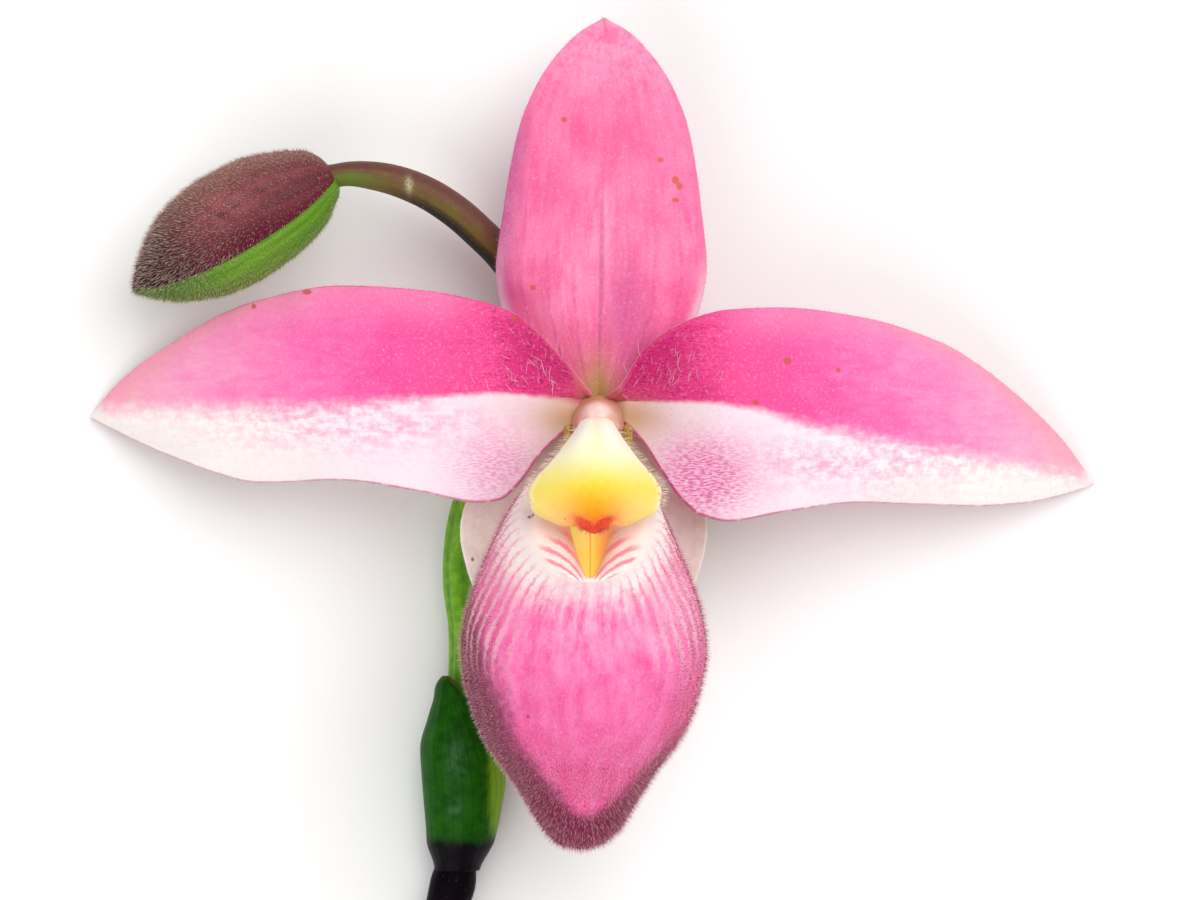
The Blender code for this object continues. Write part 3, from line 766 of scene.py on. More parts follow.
def dorsalFinish():
    skin = Finish("dorsalSkin", **flesh)
    x, y = skin.axis("X"), skin.axis("Y")
    along = skin.value("along")
    across = skin.value("across")
    edge = skin.value("edge")
    grain = skin.noise(4.5, 3.0, 0.7)
    fine = skin.noise(1.5, 5.0, 0.65)
    broad = skin.noise(0.25, 3.0, 0.6)
    streaks = skin.noise(1.0, 4.0, 0.6, skin.along(along * 9.0, across * 11.0, 3.0))
    dashes = skin.noise(1.0, 2.0, 0.5, skin.along(x * 5.5, y * 1.7, 8.0))

    flow = skin.step(broad * 0.6 + streaks * 0.5, 0.36, 0.74)
    pink = skin.mix(flow, (240, 100, 156), (251, 138, 182))
    frost = skin.step(along, 0.7, 0.98) * skin.step(fine, 0.32, 0.62)
    pink = skin.mix(frost * 0.6, pink, (253, 176, 208))
    # a painted highlight along the middle, then painted shade low on the right
    pink = skin.mix(skin.value("light") * skin.step(streaks, 0.3, 0.7) * 0.45, pink, (244, 184, 206))
    pink = skin.mix(skin.value("shade") * 0.6, pink, (206, 88, 150))
    pink = skin.mix(skin.value("warm") * 0.35, pink, (250, 96, 146))
    pink = skin.mix(skin.specks(((0.9, 29.2, 0.8, 0.7),), 0.9) * 0.5, pink, (232, 84, 140))

    # fine darker veins that fan out from the base, strongest near it
    wobble = (skin.noise(0.5, 2.0) - 0.5) * 1.6
    lines = skin.step(skin.wave(across * 25.0 + wobble), 0.8, 1.0) * skin.step(along, 0.75, 0.15)
    pink = skin.mix(lines * skin.step(fine, 0.3, 0.6) * 0.34, pink, (200, 66, 138))
    midrib = skin.step(across * across, 0.0012, 0.0) * skin.step(along, 0.9, 0.25)
    pink = skin.mix(midrib * 0.4, pink, (190, 84, 136))
    strokes = skin.step(dashes, 0.6, 0.7) * skin.step(along, 0.55, 0.1)
    pink = skin.mix(strokes * 0.3, pink, (190, 60, 130))

    colour = skin.mix(skin.value("olive"), pink, (190, 148, 96))
    # painted shade in plum along the left margin, where it rolls back under its hairs
    plum = skin.value("plum") * skin.step(grain, 0.25, 0.6)
    colour = skin.mix(plum * 0.6, colour, (146, 74, 134))
    # pale lower margins: partly their own pale colour, partly painted light shining through the thin
    # rolled-back rim
    paleBacklitRim = skin.step(edge, 1.2, 0.2) * skin.value("paleRim")
    colour = skin.mix(paleBacklitRim * 0.7, colour, (240, 222, 232))
    colour = skin.grained(colour, grain, (255, 214, 228), (236, 196, 214))
    scars = skin.specks((
        (6.2, 17.6, 0.3, 0.3), (6.5, 17.1, 0.25, 0.3), (6.2, 16.0, 0.3, 0.2), (8.4, 17.0, 0.15, 0.3),
        (-2.7, 22.4, 0.25, 0.22), (-5.2, 9.0, 0.22, 0.22), (5.0, 19.2, 0.25, 0.2),
    ))
    colour = skin.mix(scars * 0.8, colour, (208, 96, 56))
    colour = skin.mix(skin.value("tip"), colour, (208, 168, 112))

    veins = skin.step(skin.wave(across * 31.0 + wobble), 0.6, 1.0)
    back = skin.mix(veins * 0.5, (228, 148, 180), (182, 84, 124))
    back = skin.mix(skin.step(along, 0.5, 0.0) * 0.7, back, (168, 168, 100))
    back = skin.mix(midrib * 0.8, back, (124, 120, 62))
    colour = skin.over(back, colour)
    height = grain * 0.6 + skin.cells(6.0) * 0.4 + streaks * 0.6
    return skin.finish(colour, grain * 0.15 + 0.5, height, 0.04, 0.7)


def makeDorsal(material):
    s, w = leafGrid(dorsal["counts"], -0.02)
    width = curveThrough(dorsal["width"])(s)
    groove = dorsal["groove"] * ridge(w) * (1 - 0.6 * s)
    lean = dorsal["lean"] * np.sin(np.pi * s / 2)
    swing = swingOf(s)
    veins = veinsOf(w, swing, dorsal["veinHeight"], dorsal["veins"])
    ripple = dorsal["ripple"] * np.sin(2 * np.pi * dorsal["ripples"] * s + 2.5 * w) * np.abs(w) ** 3 * swing
    z = curveThrough(dorsal["rise"])(s) - curveThrough(dorsal["roll"])(s) * np.abs(w) ** 2.6
    x = lean + w * width
    y = dorsal["base"] + s * dorsal["length"]
    middle = np.stack([x, y, z - groove + veins + ripple], axis=-1)
    edge = marginDistance(middle)
    values = {
        "along": s,
        "across": w,
        "light": np.clip(
            spot(x, y, (0.3, 14.0), (1.6, 4.5)) + 0.7 * spot(x, y, (-2.4, 9.0), (1.0, 4.0)), 0, 1),
        "shade": np.clip(spot(x, y, (2.2, 7.0), (1.7, 4.2)) + spot(x, y, (3.6, 4.0), (1.4, 3.0)), 0, 1),
        "warm": spot(x, y, (0.5, 20.5), (4.5, 3.5)),
        "olive": np.clip(1.25 * spot(x, y, (0.0, 0.2), (1.5, 3.2)), 0, 1),
        "plum": softStep(w, -0.72, -0.97) * softStep(y, 4.0, 9.0) * softStep(y, 25.0, 19.0),
        "paleRim": softStep(y, 14.0, 6.0) * softStep(s, 0.05, 0.12),
        "tip": softStep(s, 0.985, 1.0),
        "fuzz": nearMargin(edge, 0.3) * softStep(s, 0.05, 0.1),
        "velvet": softStep(s, 0.06, 0.12) * (0.4 + 0.6 * softStep(w, -0.6, -0.95)),
    }
    thick = dorsal["thick"] * (1 - 0.35 * w ** 2)
    return ride(leaf("dorsalBlade", middle, thick, values, material, up=-1.0), "sepal_rose", "dorsal_sepal")


synsepal = {
    "base": -3.45,
    "length": 22.5,
    "width": (
        (0.0, 4.2), (0.06, 6.0), (0.14, 8.3), (0.22, 9.7), (0.32, 9.95), (0.45, 9.4), (0.6, 8.0),
        (0.75, 5.9), (0.88, 3.4), (0.96, 1.6), (1.0, 0.0),
    ),
    "rise": ((0.0, 9.35), (0.15, 8.7), (0.4, 7.5), (0.7, 7.1), (1.0, 7.6)),
    "shift": ((0.0, 0.0), (0.3, -1.15), (1.0, -1.2)),
    "cup": 1.1,
    "keel": 0.25,
    "veinHeight": 0.03,
    "veins": 9,
    "thick": 0.6,
    "counts": (130, 84),
}


def synsepalFinish():
    skin = Finish("synsepalSkin", **flesh)
    along = skin.value("along")
    across = skin.value("across")
    grain = skin.noise(4.5, 3.0, 0.7)
    fine = skin.noise(1.1, 4.0, 0.6)
    colour = skin.mix(skin.step(fine, 0.3, 0.7), (236, 228, 214), (244, 240, 230))
    lines = skin.step(skin.wave(across * 28.0 + (fine - 0.5) * 1.5), 0.7, 1.0) * skin.step(along, 0.9, 0.1)
    colour = skin.mix(lines * 0.16, colour, (214, 176, 180))
    colour = skin.mix(skin.step(along, 0.35, 0.0) * 0.35, colour, (214, 196, 172))
    colour = skin.mix(skin.step(grain, 0.5, 0.8) * 0.3, colour, (255, 248, 246))
    freckles = skin.specks(((-10.1, -12.8, 0.13, 0.17), (-9.6, -17.0, 0.06, 0.1)))
    colour = skin.mix(freckles * 0.8, colour, (150, 100, 62))
    back = skin.mix(lines * 0.6, (206, 198, 166), (168, 132, 102))
    back = skin.mix(skin.step(along, 0.7, 0.0) * 0.6, back, (156, 170, 96))
    colour = skin.over(back, colour)
    return skin.finish(colour, grain * 0.15 + 0.52, grain * 0.6 + fine * 0.5, 0.03, 0.6)


def makeSynsepal(material):
    s, w = leafGrid(synsepal["counts"], -0.03)
    swing = swingOf(s)
    z = curveThrough(synsepal["rise"])(s)
    z = z + synsepal["cup"] * w ** 2 * np.sin(np.pi * np.minimum(1.0, s + 0.1))
    z = z - synsepal["keel"] * ridge(np.abs(w) - 0.4) * swing
    z = z + veinsOf(w, swing, synsepal["veinHeight"], synsepal["veins"])
    x = curveThrough(synsepal["shift"])(s) + w * curveThrough(synsepal["width"])(s)
    y = synsepal["base"] - s * synsepal["length"]
    middle = np.stack([x, y, z], axis=-1)
    fuzz = nearMargin(marginDistance(middle), 0.3) * softStep(s, 0.04, 0.1)
    values = {"along": s, "across": w, "fuzz": fuzz}
    thick = synsepal["thick"] * (1 - 0.35 * w ** 2)
    return ride(leaf("synsepalBlade", middle, thick, values, material, up=1.0), "synsepal_pale", "synsepal")


pouch = {
    # rings from the tip up to the rim, then over it and down the infolded flap:
    # (middle x, y, z, tilt in degrees, half width, half depth) in mm
    "rings": (
        (-1.4, -35.5, 16.6, 0, 0.0, 0.0), (-1.4, -35.1, 16.6, 0, 1.6, 1.5),
        (-1.3, -33.9, 16.7, 0, 2.95, 2.8), (-1.3, -31.5, 17.0, 0, 4.4, 4.2),
        (-1.3, -29.1, 17.3, 0, 5.9, 5.7), (-1.2, -26.8, 17.6, 0, 7.5, 7.2),
        (-1.1, -24.4, 17.9, 0, 8.5, 8.2), (-1.1, -22.0, 18.1, 3, 9.15, 8.8),
        (-1.1, -19.7, 18.3, 10, 9.45, 9.0), (-1.1, -17.4, 18.5, 18, 9.2, 9.0),
        (-1.1, -15.0, 18.7, 26, 8.5, 8.75), (-1.1, -12.8, 18.8, 34, 7.55, 8.4),
        (-1.0, -10.9, 18.9, 40, 6.6, 7.9), (-0.8, -9.8, 19.3, 44, 5.8, 7.4),
        (-0.7, -9.5, 19.9, 44, 5.1, 7.0), (-0.6, -9.5, 20.3, 44, 4.4, 6.65),
        (-0.6, -9.6, 20.5, 44, 3.75, 6.3), (-0.6, -9.75, 20.45, 44, 3.1, 5.95),
        (-0.6, -9.95, 20.1, 44, 2.45, 5.65), (-0.6, -10.2, 19.4, 44, 1.9, 5.45),
        (-0.6, -10.4, 18.4, 44, 1.5, 5.3),
    ),
    "cadRings": 18,
    "rim": 15 / 20,
    "wall": 0.7,
    "flapWall": 0.26,
    "flapReach": 26.0,  # mm of flap for a whole share of the length, near its edge
    "counts": (150, 210),
    # how far round the plum colour and the painted shade on the pouch reach at each share of the length, 1 at
    # the silhouette
    "plumAndShadeLeft": (
        (0.0, -1.6), (0.06, -1.2), (0.1, -0.55), (0.125, 0.05), (0.15, 0.36), (0.2, 0.58), (0.25, 0.68),
        (0.3, 0.74), (0.36, 0.79), (0.43, 0.87), (0.5, 1.05), (0.6, 1.5), (1.0, 2.0),
    ),
    "plumAndShadeRight": (
        (0.0, -1.6), (0.06, -1.2), (0.1, -0.45), (0.125, 0.25), (0.15, 0.62), (0.2, 0.84), (0.25, 0.94),
        (0.3, 1.12), (0.4, 1.5), (1.0, 2.0),
    ),
}


def pouchFinish():
    # the emission is used only on the flaps: painted light
    skin = Finish("pouchSkin", Emission_Strength=0.14, **flesh)
    v = skin.value("along")  # 0 at the tip, 1 at the flap's edge
    turn = skin.value("across")  # 0 at the front, 1 round at the back
    side = skin.value("sideways")  # -1 at the left, 1 at the right
    grain = skin.noise(4.5, 3.0, 0.7)
    fine = skin.noise(1.6, 5.0, 0.65)
    broad = skin.noise(0.25, 3.0, 0.6)

    # streaks that follow the veins from rim to tip
    drift = (skin.noise(0.22, 4.0, 0.6) - 0.5) * 9.0
    stripes = skin.wave(side * 68.0 + drift + (fine - 0.5) * 2.4)
    streaks = skin.noise(1.0, 5.0, 0.65, skin.along(side * 11.0, v * 9.0, 7.0))
    beads = skin.noise(1.0, 3.0, 0.6, skin.along(side * 24.0, v * 60.0, 2.0))
    flow = skin.step(broad * 0.5 + streaks * 0.6, 0.36, 0.74)
    pink = skin.mix(flow, (240, 86, 156), (253, 134, 190))
    pink = skin.mix(skin.step(stripes, 0.1, 1.0) * skin.step(v, 0.2, 0.55) * 0.16, pink, (224, 56, 138))
    pink = skin.mix(skin.value("glow") * skin.step(streaks, 0.34, 0.66) * 0.7, pink, (252, 186, 218))
    pink = skin.mix(skin.step(v, 0.34, 0.12) * 0.2, pink, (236, 76, 140))

    # the left side and the tip go to plum: partly their own colour, partly painted shade on the side away
    # from the light
    plum = skin.value("plum") + (grain - 0.5) * 0.7 + (fine - 0.5) * 0.8 + (broad - 0.5) * 0.5
    clearOfPlumAndShade = 1.0 - skin.step(plum, 0.05, 1.0)
    colour = skin.mix((1.0 - clearOfPlumAndShade * clearOfPlumAndShade) * 0.94, pink, (110, 6, 54))
    ruddy = skin.value("ruddy") + (fine - 0.5) * 0.4
    colour = skin.mix(skin.step(ruddy, 0.2, 0.9) * 0.5, colour, (226, 60, 122))

    # pale gaps between beaded stripes on both cheeks, then white shoulders up to the rim
    gaps = skin.step(stripes + (beads - 0.5) * 2.6, 0.1, -0.9) * skin.value("banded")
    colour = skin.mix(skin.value("cheek") * 0.35, colour, (252, 202, 220))
    colour = skin.mix(gaps * 0.72, colour, (247, 198, 208))
    fade = skin.value("fade") + (fine - 0.5) * 0.45 + (streaks - 0.5) * 0.55
    marks = skin.step(stripes + (beads - 0.5) * 3.0, 0.2, 1.0) * skin.value("marked")
    pale = skin.mix(marks * 0.7, (250, 232, 228), (232, 104, 158))
    colour = skin.mix(skin.step(fade, 0.12, 0.8), colour, pale)

    # the infolded flaps: cream with pink-red stripes that run down into the slot
    rays = skin.step(skin.wave(skin.value("rays") + (fine - 0.5) * 3.2), -0.4, 0.95)
    cream = skin.mix(skin.value("inward"), (253, 226, 217), (254, 192, 172))
    inside = skin.mix(rays * skin.value("rayed") * 0.82, cream, (252, 116, 140))
    inside = skin.mix(skin.value("honey") * 0.6, inside, (254, 206, 110))
    flap = skin.step(skin.value("flap") + (fine - 0.5) * 0.5, 0.1, 0.9)
    colour = skin.mix(flap, colour, inside)
    # the flaps also glow in their own colours: painted light standing in for light through the thin flesh
    skin.plug(skin.mix(flap, (0, 0, 0), inside), skin.shader.inputs["Emission Color"])

    colour = skin.grained(colour, grain, (255, 220, 232), (230, 186, 208))
    colour = skin.mix(skin.step(turn, 0.75, 1.0) * 0.6, colour, (206, 140, 152))
    freckles = skin.specks(((-5.35, -9.25, 0.17, 0.12), (-5.1, -9.1, 0.12, 0.12), (-5.4, -24.6, 0.1, 0.16)))
    colour = skin.mix(freckles * 0.8, colour, (142, 74, 44))
    hollow = skin.mix(skin.step(stripes, 0.0, 0.9) * 0.5, (252, 220, 160), (238, 140, 146))
    colour = skin.over(hollow, colour)
    height = grain * 0.6 + skin.cells(5.0) * 0.4 + streaks * 0.6
    return skin.finish(colour, grain * 0.15 + 0.5, height, 0.045, 0.7)


def makePouch(material):
    last = len(pouch["rings"]) - 1
    rows = [(i / last, *ring) for i, ring in enumerate(pouch["rings"])]
    middleX, middleY, middleZ, tilt, halfWidth, halfDepth = (curveThrough(rows, k) for k in range(1, 7))
    steps = spread(pouch["counts"][0], 0.35)
    v, w = np.meshgrid(steps, np.linspace(-1.0, 1.0, pouch["counts"][1]), indexing="ij")
    turn = np.pi * w
    lean = np.radians(tilt(v))
    cadV = v * last / pouch["cadRings"]
    swing = np.sin(np.pi * np.clip(cadV / 0.85, 0.0, 1.0)) ** 2
    veins = (0.10 * np.cos(8 * turn) + 0.045 * np.cos(30 * turn + 0.8 * np.sin(9 * v))) * swing
    crimp = 0.025 * np.cos(34 * turn) * np.exp(-((v - pouch["rim"]) / 0.02) ** 2)
    crimp = crimp * softStep(np.cos(turn), 0.2, 0.8)
    grown = (v > 0) * (veins + crimp)
    pinch = 0.5 * softStep(v, pouch["rim"], 1.0) * np.cos(turn)
    across = (halfWidth(v) + grown) * np.sin(turn) * (1 - pinch)
    deep = (halfDepth(v) + grown) * np.cos(turn)
    x = middleX(v) + across
    y = middleY(v) - deep * np.sin(lean)
    z = middleZ(v) + deep * np.cos(lean)
    outer = np.stack([x, y, z], axis=-1)
    outer[:, -1] = outer[:, 0]
    normals = gridNormals(outer)
    normals[:, 0] = normals[:, -1] = unit(normals[:, 0] + normals[:, -1])
    middle = outer.mean(axis=1, keepdims=True)
    outward = np.sign(np.sum(normals[:100] * (outer - middle)[:100]))
    normals *= outward
    wall = pouch["wall"] + (pouch["flapWall"] - pouch["wall"]) * softStep(v, 0.58, 0.7)
    toEdge = np.clip((1 - v) * pouch["flapReach"] / (wall / 2), 0.0, 1.0)
    inner = outer - normals * (wall * np.sqrt(1 - (1 - toEdge) ** 2))[..., None]

    fold = softStep(v, pouch["rim"] - 0.05, pouch["rim"] + 0.03)
    cheek = np.abs(x + 1.1)
    silhouette = 1 - np.abs(normals[..., 2])
    facing = np.sin(turn)
    hemLeft = curveThrough(pouch["plumAndShadeLeft"])(v)
    hemRight = curveThrough(pouch["plumAndShadeRight"])(v)
    soft = 0.3 + 0.25 * softStep(v, 0.22, 0.1)
    plumAndShadeLeft = softStep(-facing, hemLeft - soft, hemLeft + soft)
    plumAndShadeRight = softStep(facing, hemRight - soft, hemRight + soft)

    # pink-red rays fan out over both flaps from the foot of the mouth
    foot = np.hypot(x + 0.7, y + 15.3)
    fan = np.arctan2(np.abs(x + 0.7), y + 15.3)
    fanned = softStep(foot, 0.9, 1.8) * softStep(foot, 6.0, 4.6)
    fanned = fanned * softStep(fan, 0.16, 0.3) * softStep(fan, 1.2, 0.95)
    values = {
        "along": v,
        "across": np.abs(w),
        "sideways": w * 2.0,
        "flap": fold,
        "inward": softStep(v, 0.86, 1.0),
        "honey": softStep(v, 0.93, 1.0),
        "rays": (fan - 0.11 * foot) * 31.0,
        "rayed": softStep(v, pouch["rim"] - 0.03, pouch["rim"]) * fanned,
        "banded": softStep(cheek, 3.8, 7.8) * softStep(v, 0.34, 0.48) * softStep(v, 0.74, 0.62),
        "marked": softStep(cheek, 0.6, 3.2) * softStep(v, 0.72, 0.58),
        "fade": softStep(v, 0.48, 0.71) * (0.64 + 0.42 * softStep(cheek, 1.0, 4.5)),
        "plum": 1 - (1 - plumAndShadeLeft) * (1 - plumAndShadeRight),
        "ruddy": softStep(x, 3.0, 7.5) * softStep(v, 0.5, 0.2),
        "cheek": spot(x, y, (6.2, -15.5), (2.6, 3.4)) + 0.7 * spot(x, y, (-7.6, -13.8), (2.4, 2.6)),
        "glow": spot(x, y, (-0.5, -17.2), (5.5, 3.0)) * softStep(z, 16.0, 19.0),
        "pelt": softStep(v, 0.68, 0.54) * np.clip(
            0.3 + 0.7 * np.maximum(softStep(silhouette, 0.15, 0.6), softStep(v, 0.38, 0.2)), 0, 1),
        "hairSize": np.clip(0.42 + 0.58 * np.maximum(silhouette, softStep(v, 0.34, 0.12)), 0, 1),
        "comb": unit(np.gradient(outer, axis=0)) * -1.0,
    }
    piece = shell("pouchShell", outer, inner, values, material)
    return ride(piece, "pouch_rose", "pouch")


throat = {
    "back": (-0.6, -7.5, 14.1),
    "front": (-0.6, -15.1, 21.9),
    "halfWidth": 2.0,
    "vee": 0.8,  # mm, how far its sides stand above its middle
    "thick": 0.5,
    "counts": (60, 50),
}


def throatFinish():
    # it glows a little, as thin flesh does with light behind it
    skin = Finish("throatSkin", Specular_IOR_Level=0.3, Emission_Strength=0.5, **creamFlesh)
    across = skin.value("across")
    along = skin.value("along")
    fine = skin.noise(1.6, 3.0)
    colour = skin.mix(skin.step(across, -0.25, 0.35), (255, 232, 124), (255, 200, 92))
    colour = skin.mix(skin.step(along + (fine - 0.5) * 0.3, 0.4, 0.7) * 0.5, colour, (255, 190, 64))
    colour = skin.mix(skin.step(across, 0.25, 0.75) * 0.7, colour, (255, 150, 112))
    colour = skin.mix(skin.step(across * across, 0.0008, 0.0) * 0.6, colour, (206, 142, 40))
    skin.plug(colour, skin.shader.inputs["Emission Color"])
    return skin.finish(colour, fine * 0.15 + 0.35, fine, 0.02, 0.5)


def makeThroat(material):
    s, w = leafGrid(throat["counts"])
    back = np.array(throat["back"])
    front = np.array(throat["front"])
    out = unit(np.cross(np.array((1.0, 0.0, 0.0)), front - back))
    point = back + s[..., None] * (front - back)
    lift = throat["vee"] * np.abs(w) ** 1.3 - 0.12 * ridge(w, 0.06)
    half = throat["halfWidth"] * (1 - 0.4 * s ** 1.5)
    middle = point + lift[..., None] * out + (w * half)[..., None] * np.array((1.0, 0.0, 0.0))
    piece = leaf("pouchThroat", middle, throat["thick"], {"along": s, "across": w}, material)
    return ride(piece, "staminode_yellow")


staminode = {
    "top": (-0.1, -1.9, 17.8),
    "tip": (-0.3, -10.5, 23.4),
    "width": (
        (0.0, 1.1), (0.1, 1.4), (0.2, 1.85), (0.33, 2.55), (0.44, 3.2), (0.55, 3.9), (0.67, 4.7),
        (0.8, 5.15), (0.9, 5.05), (0.96, 4.5), (1.0, 3.4),
    ),
    "sides": 0.8,
    "dome": 1.5,
    "notch": 0.5,
    "thick": 1.0,
    "counts": (110, 110),
}


def staminodeFinish():
    skin = Finish("staminodeSkin", Specular_IOR_Level=0.2, **creamFlesh)
    fine = skin.noise(1.4, 4.0, 0.6)
    grain = skin.noise(5.0, 3.0, 0.6)
    down = skin.value("down") + (fine - 0.5) * 0.07
    side = skin.ramp(down, (
        (0.0, (246, 214, 200)), (0.12, (248, 240, 222)), (0.38, (250, 244, 206)),
        (0.52, (244, 232, 144)), (0.66, (240, 220, 104)), (0.8, (244, 222, 128)),
        (1.0, (246, 218, 150)),
    ))
    centre = skin.ramp(down, (
        (0.0, (246, 212, 198)), (0.1, (248, 238, 212)), (0.3, (250, 244, 196)),
        (0.44, (250, 246, 196)), (0.56, (250, 242, 154)), (0.68, (250, 216, 62)),
        (0.8, (250, 172, 14)), (0.91, (248, 128, 18)), (1.0, (240, 98, 40)),
    ))
    colour = skin.mix(skin.value("middle"), side, centre)
    colour = skin.mix(skin.value("milk") * 0.7, colour, (254, 251, 240))
    rim = skin.step(skin.value("edge"), 0.9, 0.2) * skin.value("paleRim")
    colour = skin.mix(rim * 0.7, colour, (251, 240, 214))
    blood = skin.step(skin.value("blood") + (fine - 0.5) * 1.0, 0.05, 1.1)
    colour = skin.mix(blood * 0.9, colour, (220, 62, 44))
    under = skin.mix(skin.step(fine, 0.3, 0.7), (216, 176, 108), (232, 204, 146))
    colour = skin.mix(skin.step(skin.value("front"), 0.2, 0.6), under, colour)
    return skin.finish(colour, grain * 0.15 + 0.45, grain * 0.6 + fine, 0.035, 0.6)


def makeStaminode(material):
    s, w = leafGrid(staminode["counts"])
    top = np.array(staminode["top"])
    tip = np.array(staminode["tip"])
    outward = unit(np.cross(tip - top, np.array((1.0, 0.0, 0.0))))
    dome = staminode["dome"] * (1 - w ** 2) * np.sin(np.pi * (0.05 + 0.85 * s)) ** 0.7
    notch = staminode["notch"] * ridge(w / 2) * np.maximum(0.0, (s - 0.75) / 0.25)
    lobes = 0.4 * (spot(w, s, (-0.42, 0.24), (0.36, 0.17)) + spot(w, s, (0.42, 0.24), (0.36, 0.17)))
    shelf = 0.4 * spot(w, s, (0.0, 0.64), (0.45, 0.12)) - 0.35 * spot(w, s, (0.0, 0.93), (0.4, 0.08))
    pads = 0.16 * (spot(w, s, (-0.2, 0.97), (0.14, 0.05)) + spot(w, s, (0.2, 0.97), (0.14, 0.05)))
    share = s * (1 - (1 - staminode["sides"]) * np.abs(w) ** 1.9)
    point = top + share[..., None] * (tip - top)
    point = point + (dome - notch + lobes + shelf + pads)[..., None] * outward
    middle = point + (w * curveThrough(staminode["width"])(s))[..., None] * np.array((1.0, 0.0, 0.0))
    values = {
        "down": share,
        "middle": np.exp(-(w / 0.56) ** 2),
        "paleRim": softStep(np.abs(w), 0.6, 0.9),
        "milk": np.clip(spot(np.abs(w), s, (0.5, 0.22), (0.34, 0.16)), 0, 1),
        "blood": np.clip(
            0.95 * spot(np.abs(w), s, (0.2, 0.96), (0.17, 0.075)) + 0.4 * spot(w, s, (0.0, 1.0), (0.4, 0.07)),
            0, 1),
        "beard": np.clip(1.3 * spot(np.abs(w), s, (0.2, 0.98), (0.15, 0.04)), 0, 1),
        "lashes": softStep(np.abs(w), 0.88, 0.97) * softStep(s, 0.02, 0.1) * softStep(s, 0.97, 0.9),
        "comb": np.stack([np.sign(w), np.zeros_like(w), np.zeros_like(w)], axis=-1),
    }
    return ride(
        leaf("staminodeShield", middle, staminode["thick"], values, material),
        "staminode_yellow",
        "staminode",
    )


column = {
    # (height, half width, half depth) from the receptacle up over the knob
    "profile": (
        (8.3, 1.5, 1.5), (9.0, 2.7, 2.2), (9.7, 3.0, 2.4), (10.4, 2.7, 2.3), (11.4, 2.2, 2.1),
        (13.0, 1.95, 1.95), (14.8, 1.75, 1.8), (16.0, 1.65, 1.7), (16.9, 1.35, 1.4), (17.35, 0.9, 0.9),
        (17.5, 0.0, 0.0),
    ),
    "middleY": -2.0,
    "counts": (70, 64),
}


def columnFinish():
    skin = Finish("columnSkin", Specular_IOR_Level=0.3, **creamFlesh)
    fine = skin.noise(1.5, 4.0, 0.6)
    height = skin.value("height")
    colour = skin.ramp(height, (
        (0.0, (150, 156, 88)), (0.15, (190, 150, 98)), (0.45, (216, 164, 128)),
        (0.72, (242, 192, 172)), (1.0, (252, 226, 216)),
    ))
    # painted shade down both sides of the column, over a tan colour
    colour = skin.mix(skin.value("flank") * 0.6, colour, (204, 148, 112))
    colour = skin.mix(skin.step(fine, 0.4, 0.7) * 0.35, colour, (244, 158, 146))
    colour = skin.mix(skin.step(fine, 0.45, 0.25) * 0.4, colour, (255, 238, 234))
    return skin.finish(colour, fine * 0.2 + 0.4, fine, 0.06, 0.7)


def roundBody(name, middle, half, counts, shape, material):
    # a closed ball whose radius is changed by shape(turn, rise)
    rises = np.linspace(0.0, np.pi, counts[0])
    turns = np.linspace(0.0, 2 * np.pi, counts[1])
    rise, turn = np.meshgrid(rises, turns, indexing="ij")
    size = shape(turn, rise)
    x = middle[0] + half[0] * size * np.sin(rise) * np.cos(turn)
    y = middle[1] + half[1] * size * np.sin(rise) * np.sin(turn)
    z = middle[2] + half[2] * size * np.cos(rise)
    grid = np.stack([x, y, z], axis=-1)
    grid[:, -1] = grid[:, 0]
    number = np.arange(counts[0] * counts[1]).reshape(counts)
    known = {"height": (1 + np.cos(rise)).ravel() / 2}
    return makeObject(name, grid.reshape(-1, 3), gridFaces(number), known, material)


def makeColumn(material):
    rows = [(i / (len(column["profile"]) - 1), *row) for i, row in enumerate(column["profile"])]
    steps = np.linspace(0.0, 1.0, column["counts"][0])
    turns = np.linspace(0.0, 2 * np.pi, column["counts"][1])
    t, turn = np.meshgrid(steps, turns, indexing="ij")
    height, wide, deep = (curveThrough(rows, k)(t) for k in (1, 2, 3))
    lumps = 1 + 0.03 * np.cos(3 * turn + 1.0) * softStep(height, 12.0, 15.0)
    x = wide * lumps * np.cos(turn)
    y = column["middleY"] + deep * lumps * np.sin(turn)
    grid = np.stack([x, y, height], axis=-1)
    grid[:, -1] = grid[:, 0]
    number = np.arange(t.size).reshape(t.shape)
    bottom = grid[0].mean(axis=0)
    points = np.concatenate([grid.reshape(-1, 3), bottom[None]])
    hub = np.full(t.shape[1] - 1, t.size)
    cap = np.stack([number[0, 1:], number[0, :-1], hub, hub], axis=-1)
    lowest, highest = column["profile"][0][0], column["profile"][-1][0]
    rising = np.concatenate([((height - lowest) / (highest - lowest)).ravel(), [0.0]])
    flank = np.concatenate([softStep(np.abs(np.cos(turn)), 0.5, 0.95).ravel(), [0.0]])
    known = {"height": rising, "flank": flank}
    faces = np.concatenate([gridFaces(number), cap])
    piece = makeObject("columnBody", points, faces, known, material)
    return ride(piece, "column_cream", "column")


def makeAnther(name, side, node, material):
    def shape(turn, rise):
        furrow = 0.16 * np.exp(-((np.cos(turn) * side - 1) / 0.08) ** 2) * np.sin(rise)
        return 1 - furrow + 0.02 * np.sin(9 * turn) * np.sin(7 * rise)

    piece = roundBody(name, (side * 2.35, -2.9, 15.1), (0.5, 0.95, 0.8), (32, 40), shape, material)
    return ride(piece, "anther_ochre", node)


def makeStigma(material):
    def shape(turn, rise):
        return 1 - 0.08 * np.cos(3 * turn) * np.sin(rise)

    piece = roundBody("stigmaPad", (-0.1, -4.75, 16.5), (1.4, 0.95, 0.7), (28, 40), shape, material)
    return ride(piece, "stigma_green", "stigma")


